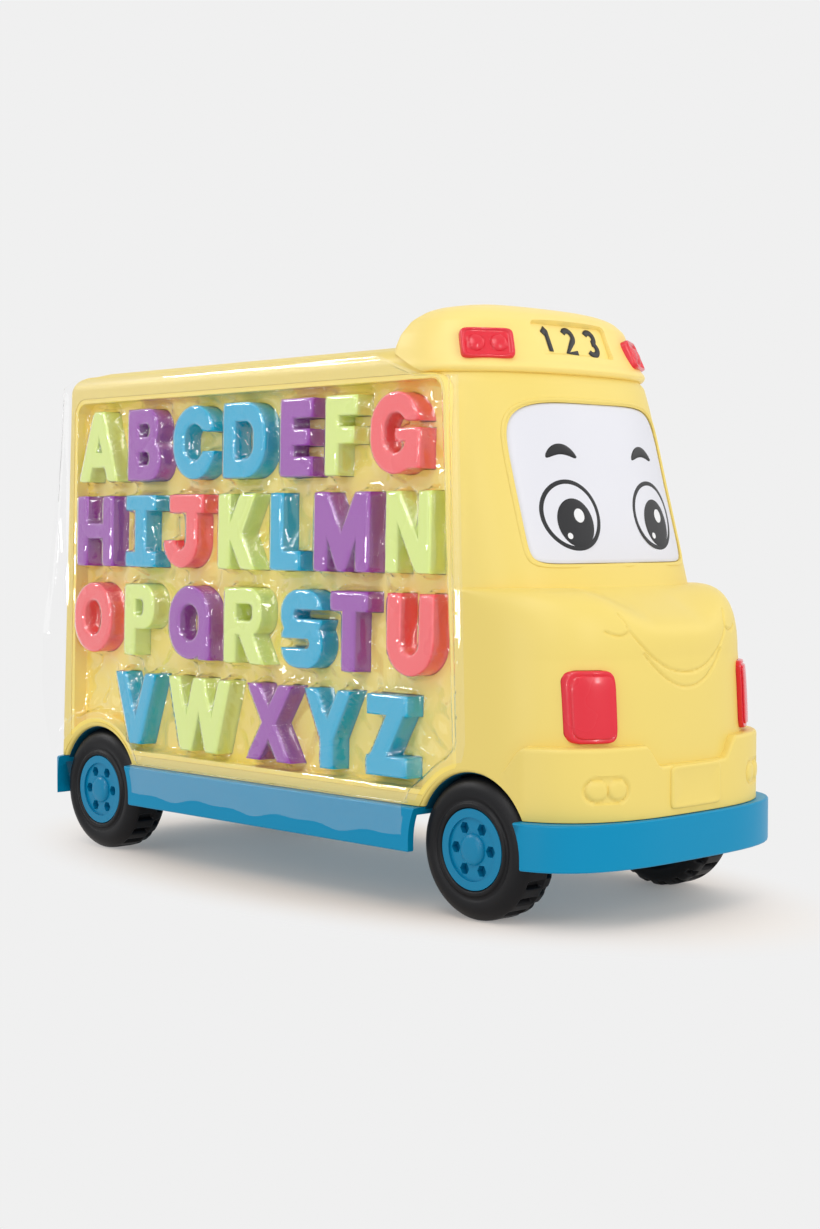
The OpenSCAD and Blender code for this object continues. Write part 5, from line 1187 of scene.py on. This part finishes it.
class BUS_OT_cover(bpy.types.Operator):
    """Clear sheet drawn over letters and tray: a height field over the letter side, with a flap."""
    bl_idname = "bus.cover"
    bl_label = "Clear cover"

    REAR, FRONT_LOW, FRONT_HIGH = -160.5, 110.0, 101.0
    FOOT, TOP, FLAP_LOW = 1.0, 175.9, -12.0
    FLAP_REAR, FLAP_FRONT, FLAP_LIFT = -97.5, 79.5, 4.55
    LIFT, STEP, TAPER, LEAST = 0.6, 1.06, 4.0, 0.02
    # how the front edge draws in at the roof's bend and over the arch, and the rear one at its top corner
    BEND, BEND_IN, BEND_STEP = 166.4, 26.0, 20.0
    ARCH_IN, ARCH_OVER, CORNER_IN, CORNER_OVER = 12.0, 26.0, 12.0, 14.0
    SHELF_ROWS, FLAP_ROWS = 6, 12
    FIELD_U, FIELD_V, FIELD_STEP = (-170, 122), (-4, 182), 0.5
    TRAY_IN, ARCH_CLEAR, FLOOR_LIFT, BRIDGE_LIFT, TOP_GAP = 3, 7, 2.2, 2.2, 0.8
    # blur, start and rise of the sheet's cling to a letter, its bridge between letters and its sinking
    NEAR, BRIDGE, SUNK = (1.15, 0.05, 0.42), (4.5, 0.12, 0.6), (2.0, 0.2, 0.6)
    CRUMPLE_LOW, CRUMPLE_TOP, CRUMPLE_SEED, CRUMPLE_BLURS = 0.75, 0.03, 5, (2.8, 6.0)
    RIDGE_HIGH, RIDGE_AT, RIDGE_WIDE = 1.5, 3.4, 1.1
    SPRING_HIGH, SPRING_FROM, SPRING_OVER, SPRING_TOP, SPRING_TALL = 9.0, -151.0, 9.5, 168, 110

    def execute(self, context):
        u, v, n, flap = self.sheet_grid()
        count, width = u.shape
        thick = sizes().film / MM * smooth(self.edge_distance(u, v) / self.TAPER) + self.LEAST
        outer = on_side(u, v, n).reshape(-1, 3)
        inner = on_side(u, v, n - thick).reshape(-1, 3)
        inside = np.zeros(u.shape, bool)
        for x in AXLES_X:
            inside |= np.hypot(u - x, v - (AXLE_Z - BASE_Z)) < FILM_ARCH + 1e-3
        drop = inside | (flap & ((u < self.FLAP_REAR) | (u > self.FLAP_FRONT)))
        faces = grid_faces(count, width)
        kept = faces[~np.all(drop.reshape(-1)[faces], axis=1)]
        kept = kept[~np.any((flap & ~inside & drop).reshape(-1)[kept], axis=1)]
        piece = self.closed(outer, inner, kept)
        finish_piece(piece, "film", clear_film(), ["clear_cover"])
        return {"FINISHED"}

    def front_edge(self, v):
        """Place of the sheet's front edge at a height: it leans back, and draws in at roof and arch."""
        edge = self.FRONT_LOW + (self.FRONT_HIGH - self.FRONT_LOW) * np.clip(v / self.TOP, 0, 1)
        over = np.clip((v - self.BEND) / (self.TOP - self.BEND), 0, 1)
        edge = edge - self.BEND_IN * over - self.BEND_STEP * (v > self.BEND - 0.1)
        return edge - self.ARCH_IN * np.clip(1 - (v - self.FOOT) / self.ARCH_OVER, 0, 1) ** 1.5

    def edge_distance(self, u, v):
        """Distance of places on the sheet from its nearest free edge."""
        near = np.minimum(np.minimum(u - self.REAR, self.front_edge(v) - u), self.TOP - v)
        for x in AXLES_X:
            near = np.minimum(near, np.hypot(u - x, v - (AXLE_Z - BASE_Z)) - FILM_ARCH)
        return np.maximum(0, np.minimum(near, v - self.FLAP_LOW))

    def closed(self, outer, inner, faces):
        """Sheet with thickness: outer faces, inner faces turned round, and a strip along every open edge."""
        size = len(outer)
        edges = np.concatenate([faces[:, [k, (k + 1) % 4]] for k in range(4)])
        keys = np.sort(edges, 1) @ [size, 1]
        _, index, total = np.unique(keys, return_index=True, return_counts=True)
        rim = edges[index[total == 1]]
        strip = np.stack([rim[:, 1], rim[:, 0], rim[:, 0] + size, rim[:, 1] + size], 1)
        every = np.concatenate([faces, faces[:, ::-1] + size, strip])
        used, place = np.unique(every, return_inverse=True)
        points = np.concatenate([outer, inner])[used]
        return make_mesh("clear_cover_sheet", points, place.reshape(every.shape), sharp=70)

    def sheet_grid(self):
        """Rows from the roof's edge down over the wall, the tray and the letters to the flap's lower edge."""
        rows = np.arange(self.TOP, self.FOOT, -self.STEP)
        along = np.linspace(0, 1, int((self.FRONT_LOW - self.REAR) / self.STEP))
        shelf = np.linspace(0, 1, self.SHELF_ROWS + 1)[1:]
        drop = np.linspace(self.FOOT - 0.6, self.FLAP_LOW, self.FLAP_ROWS)
        v = np.concatenate([rows, self.FOOT + 0 * shelf, drop])[:, None] + 0 * along
        flap = np.arange(len(v))[:, None] + 0 * along >= len(rows)
        corner = np.clip((v - self.TOP + self.CORNER_OVER) / self.CORNER_OVER, 0, 1)
        rear = self.REAR + self.CORNER_IN * (1 - np.sqrt(1 - corner ** 2))
        u = rear + (self.front_edge(v) - rear) * along
        pushed = clear_of_arches(np.stack([u, v], -1), FILM_ARCH)
        u, v = pushed[..., 0], pushed[..., 1]
        n = self.height(u, v)
        climb = np.concatenate([0 * rows, smooth(shelf), 1 + 0 * drop])[:, None]
        wave = 0.9 * np.sin(u / 9.0) + 0.6 * np.sin(u / 4.3 + 1.0)
        lean = np.where(v < self.FOOT, (self.FOOT - v) * math.tan(SIDE_LEAN), 0)
        ripple = 0.1 * np.sin(u / 9.5 + 1.7 * np.sin(u / 21.0) + v / 4.5)
        n = np.where(climb > 0, self.LIFT + (self.FLAP_LIFT + ripple - self.LIFT) * climb - lean, n)
        v = np.where(flap & (v < self.FLAP_LOW + 0.1), v + wave, v)
        return u, v, n, flap

    def tray_mask(self, u, v):
        """True where a grid of places lies inside the tray's opening, clear of its walls and the arches."""
        (rear, low), (front, _), (front_high, high), _ = TRAY
        edge = self.TRAY_IN
        mask = (u > rear + edge) & (v > low + edge) & (v < high - edge)
        mask &= u < front - edge + (front_high - front) * (v - low) / (high - low)
        for x in AXLES_X:
            mask &= np.hypot(u - x, v - (AXLE_Z - BASE_Z)) > ARCH_RADIUS + self.ARCH_CLEAR
        return mask

    def height(self, u, v):
        """Height of the sheet: the flange's level, sunk inside the tray, raised over each letter."""
        step = self.FIELD_STEP
        gu, gv = np.meshgrid(np.arange(*self.FIELD_U, step), np.arange(*self.FIELD_V, step))
        letters = letter_mask(gu, gv)
        tray = self.tray_mask(gu, gv).astype(float)
        near, bridge, sunk = [smooth((blurred(mask, step, width) - start) / over) for mask, (width, start, over)
                              in ((letters, self.NEAR), (letters, self.BRIDGE), (tray, self.SUNK))]
        rough = np.random.default_rng(self.CRUMPLE_SEED).standard_normal(gu.shape)
        crumple = np.subtract(*[blurred(rough, step, width) for width in self.CRUMPLE_BLURS])
        crumple = crumple / crumple.std()
        floor = -TRAY_DEEP + self.FLOOR_LIFT + self.BRIDGE_LIFT * bridge + self.CRUMPLE_LOW * crumple * sunk
        top = LETTER_FRONT + self.TOP_GAP + self.CRUMPLE_TOP * crumple
        inside = floor + (top - floor) * near
        field = blurred(self.LIFT + (inside - self.LIFT) * np.maximum(sunk, near), step, 0.5)
        far = self.edge_distance(gu, gv)
        field = field + self.RIDGE_HIGH * np.exp(-((far - self.RIDGE_AT) / self.RIDGE_WIDE) ** 2)
        # the loose rear margin springs away from the wall, most of all low down
        low = np.clip((self.SPRING_TOP - gv) / self.SPRING_TALL, 0, 1) ** 1.3 * smooth(0.4 + gv / 60)
        field = field + self.SPRING_HIGH * low * smooth((self.SPRING_FROM - gu) / self.SPRING_OVER)
        i = np.clip((u - self.FIELD_U[0]) / step, 0, gu.shape[1] - 1.001)
        j = np.clip((v - self.FIELD_V[0]) / step, 0, gu.shape[0] - 1.001)
        i0, j0 = i.astype(int), j.astype(int)
        fi, fj = i - i0, j - j0
        return ((field[j0, i0] * (1 - fi) + field[j0, i0 + 1] * fi) * (1 - fj)
                + (field[j0 + 1, i0] * (1 - fi) + field[j0 + 1, i0 + 1] * fi) * fj)


class BUS_OT_inner_parts(bpy.types.Operator):
    """Finishes of the pieces inside and underneath, which keep their own solids."""
    bl_idname = "bus.inner_parts"
    bl_label = "Inner parts"

    def execute(self, context):
        plain = ("front_axle", "rear_axle", "battery_door_screw", "batteries", "battery_contacts", "speaker",
                 "main_circuit_board", "power_switch_body", "power_switch_knob", "letter_switch_board",
                 "switch_dome_mat", "headlamp_switch_boards", "body_screws", "tray_screws")
        for node in plain:
            mesh = frame["nodes"][node].data
            mesh.materials.clear()
            mesh.materials.append(plain_finish(NODE_SLOT[node]))
        return {"FINISHED"}


class BUS_OT_stage(bpy.types.Operator):
    """Pale floor that fades into the background, soft studio light and the camera."""
    bl_idname = "bus.stage"
    bl_label = "Stage"

    CAMERA_AT, SENSOR = (0.63072, -0.59959, 0.1497), 36
    CAMERA_TURN, CAMERA_DROP = math.radians(45.908), math.radians(2.567)
    FOCAL_PIXELS, IMAGE_HIGH = 1991.5, 1229
    FLOOR_RINGS, FADE_FROM, FADE_TO, FADE_LEAST = (0.0005, 0.5, 1.0, 2.0, 4.0, 9.0), 0.07, 0.12, 0.2
    WORLD_LIGHT, LAMP_AIM = 0.42, (0, 0, 0.12)
    # name, place, width, height and power of each lamp, and whether it lights and whether it is mirrored
    LAMPS = (
        ("key", (0.75, -1.0, 1.5), 0.8, 0.8, 7.0, True, True),
        ("sheen", (0.85, 1.15, 0.95), 0.9, 0.9, 3.5, False, True),
        ("fill", (-0.25, -1.75, 0.75), 1.2, 1.2, 5.5, True, False),
        ("front", (1.75, 0.35, 0.75), 1.0, 1.0, 11.0, True, False),
        ("top", (-0.1, 0.1, 1.7), 2.2, 2.2, 10.0, True, False),
        ("strip", (0.25, -1.2, 1.05), 0.6, 0.05, 4.0, False, True),
        ("high_strip", (0.22, -0.6, 1.2), 0.05, 0.4, 2.0, False, True),
        ("back", (-1.2, 1.5, 1.0), 1.2, 1.2, 6.0, True, False),
        ("side_strip", (-1.05, -0.85, 1.0), 0.05, 0.5, 4.0, False, True),
        ("rear_strip", (-1.1, -0.5, 1.0), 0.3, 0.05, 3.0, False, True),
        ("near_strip", (0.7, -0.95, 0.42), 0.04, 0.4, 1.6, False, True),
        ("right_strip", (1.25, -0.35, 0.55), 0.05, 0.5, 3.0, False, True),
        ("low_strip", (0.1, -1.5, 0.16), 0.5, 0.05, 3.0, False, True),
    )

    def execute(self, context):
        self.floor()
        self.world()
        for row in self.LAMPS:
            self.lamp(*row)
        self.camera()
        context.scene.view_settings.view_transform = "Standard"
        return {"FINISHED"}

    def floor(self):
        """Wide ring of floor: plain pale surface near the bus, the background's own grey far away."""
        t, r = full_turn(64), np.array(self.FLOOR_RINGS)[:, None]
        rings = np.stack([r * np.cos(t), r * np.sin(t), 0 * r * t], -1)
        faces = [tuple(f)[::-1] for f in grid_faces(*rings.shape[:2], wrap_columns=True)]
        faces.append(tuple(range(len(t))))
        mesh = bpy.data.meshes.new("floor")
        mesh.from_pydata(rings.reshape(-1, 3).tolist(), [], [tuple(map(int, f)) for f in faces])
        floor = add_object("floor", mesh)
        # the warm base colour is a tint painted against the blue bounced light in the shadow; far off the floor
        # shows the backdrop's grey
        material, tree, shader = new_material("floor_paper", Base_Color=(*colours().paper, 1), Roughness=0.7)
        glow = add_node(tree, "Emission", Color=(*colours().backdrop, 1))
        place, below = add_node(tree, "TexCoord"), add_node(tree, "NewGeometry")
        squeeze = add_node(tree, "VectorMath", "MULTIPLY")
        squeeze.inputs[1].default_value = (0.5, 1.0, 1.0)
        length = add_node(tree, "VectorMath", "LENGTH")
        fade = add_node(tree, "MapRange", From_Min=self.FADE_FROM, From_Max=self.FADE_TO,
                        To_Min=self.FADE_LEAST)
        fade.interpolation_type = "SMOOTHSTEP"
        clear = add_node(tree, "BsdfTransparent")
        mix, either = add_node(tree, "MixShader"), add_node(tree, "MixShader")
        wire(tree, (place, "Object", squeeze, 0), (squeeze, "Vector", length, 0),
             (length, "Value", fade, "Value"), (fade, "Result", mix, 0), (shader, 0, mix, 1), (glow, 0, mix, 2),
             (below, "Backfacing", either, 0), (mix, 0, either, 1), (clear, 0, either, 2),
             (either, 0, tree.nodes["Material Output"], "Surface"))
        mesh.materials.append(material)

    def world(self):
        """Even pale light, shown as the backdrop's grey behind the bus and in its gloss."""
        world = bpy.data.worlds.new("studio")
        world.use_nodes = True
        bpy.context.scene.world = world
        tree = world.node_tree
        base = tree.nodes["Background"]
        set_inputs(base, Color=(1, 1, 1, 1), Strength=self.WORLD_LIGHT)
        seen = add_node(tree, "Background", Color=(*colours().backdrop, 1))
        ray, mix = add_node(tree, "LightPath"), add_node(tree, "MixShader")
        either, mirrored = add_node(tree, "Math", "MAXIMUM"), add_node(tree, "Math", "MAXIMUM")
        wire(tree, (ray, "Is Camera Ray", either, 0), (ray, "Is Transmission Ray", either, 1),
             (either, 0, mirrored, 0), (ray, "Is Glossy Ray", mirrored, 1), (mirrored, 0, mix, 0),
             (base, 0, mix, 1), (seen, 0, mix, 2), (mix, 0, tree.nodes["World Output"], "Surface"))

    def lamp(self, name, at, wide, tall, power, lights, mirrored):
        """Soft rectangular light that faces the middle of the bus, for lighting, for glints or for both."""
        light = bpy.data.lights.new(name, "AREA")
        light.shape = "RECTANGLE"
        light.size, light.size_y, light.energy = wide, tall, power
        lamp = add_object(name, light)
        lamp.location = at
        lamp.visible_diffuse, lamp.visible_glossy = lights, mirrored
        lamp.rotation_euler = (Vector(self.LAMP_AIM) - Vector(at)).to_track_quat("-Z", "Y").to_euler()

    def camera(self):
        """Camera at the fitted place; the long side of the picture spans the sensor."""
        lens = bpy.data.cameras.new("camera")
        lens.sensor_width = self.SENSOR
        lens.lens = self.FOCAL_PIXELS * self.SENSOR / self.IMAGE_HIGH
        lens.clip_end = 50
        camera = add_object("camera", lens)
        level = math.cos(self.CAMERA_DROP)
        look = Vector((-math.sin(self.CAMERA_TURN) * level, math.cos(self.CAMERA_TURN) * level,
                       -math.sin(self.CAMERA_DROP)))
        camera.location = self.CAMERA_AT
        camera.rotation_euler = look.to_track_quat("-Z", "Y").to_euler()
        bpy.context.scene.camera = camera


class BUS_PT_panel(bpy.types.Panel):
    """Sidebar panel with the bus's pieces, colours and sizes."""
    bl_idname = "BUS_PT_panel"
    bl_label = "Toy bus"
    bl_space_type = "VIEW_3D"
    bl_region_type = "UI"
    bl_category = "Toy bus"

    def draw(self, context):
        for operator in OPERATORS:
            self.layout.operator(operator.bl_idname)
        for group in (context.scene.bus_colours, context.scene.bus_sizes):
            for name in group.__annotations__:
                self.layout.prop(group, name)


OPERATORS = (BUS_OT_stage, BUS_OT_shell, BUS_OT_windscreen, BUS_OT_visor, BUS_OT_lamps, BUS_OT_wheels,
             BUS_OT_chassis, BUS_OT_letters, BUS_OT_cover, BUS_OT_inner_parts)
CLASSES = (BusColours, BusSizes, *OPERATORS, BUS_PT_panel)


def register():
    """Adds the classes and the scene's settings."""
    for cls in CLASSES:
        bpy.utils.register_class(cls)
    bpy.types.Scene.bus_colours = bpy.props.PointerProperty(type=BusColours)
    bpy.types.Scene.bus_sizes = bpy.props.PointerProperty(type=BusSizes)


def unregister():
    """Takes the settings and classes away again."""
    del bpy.types.Scene.bus_sizes
    del bpy.types.Scene.bus_colours
    for cls in reversed(CLASSES):
        bpy.utils.unregister_class(cls)


def main():
    """Builds every piece in order."""
    register()
    for operator in OPERATORS:
        category, name = operator.bl_idname.split(".")
        getattr(getattr(bpy.ops, category), name)()


if __name__ == "__main__":
    main()
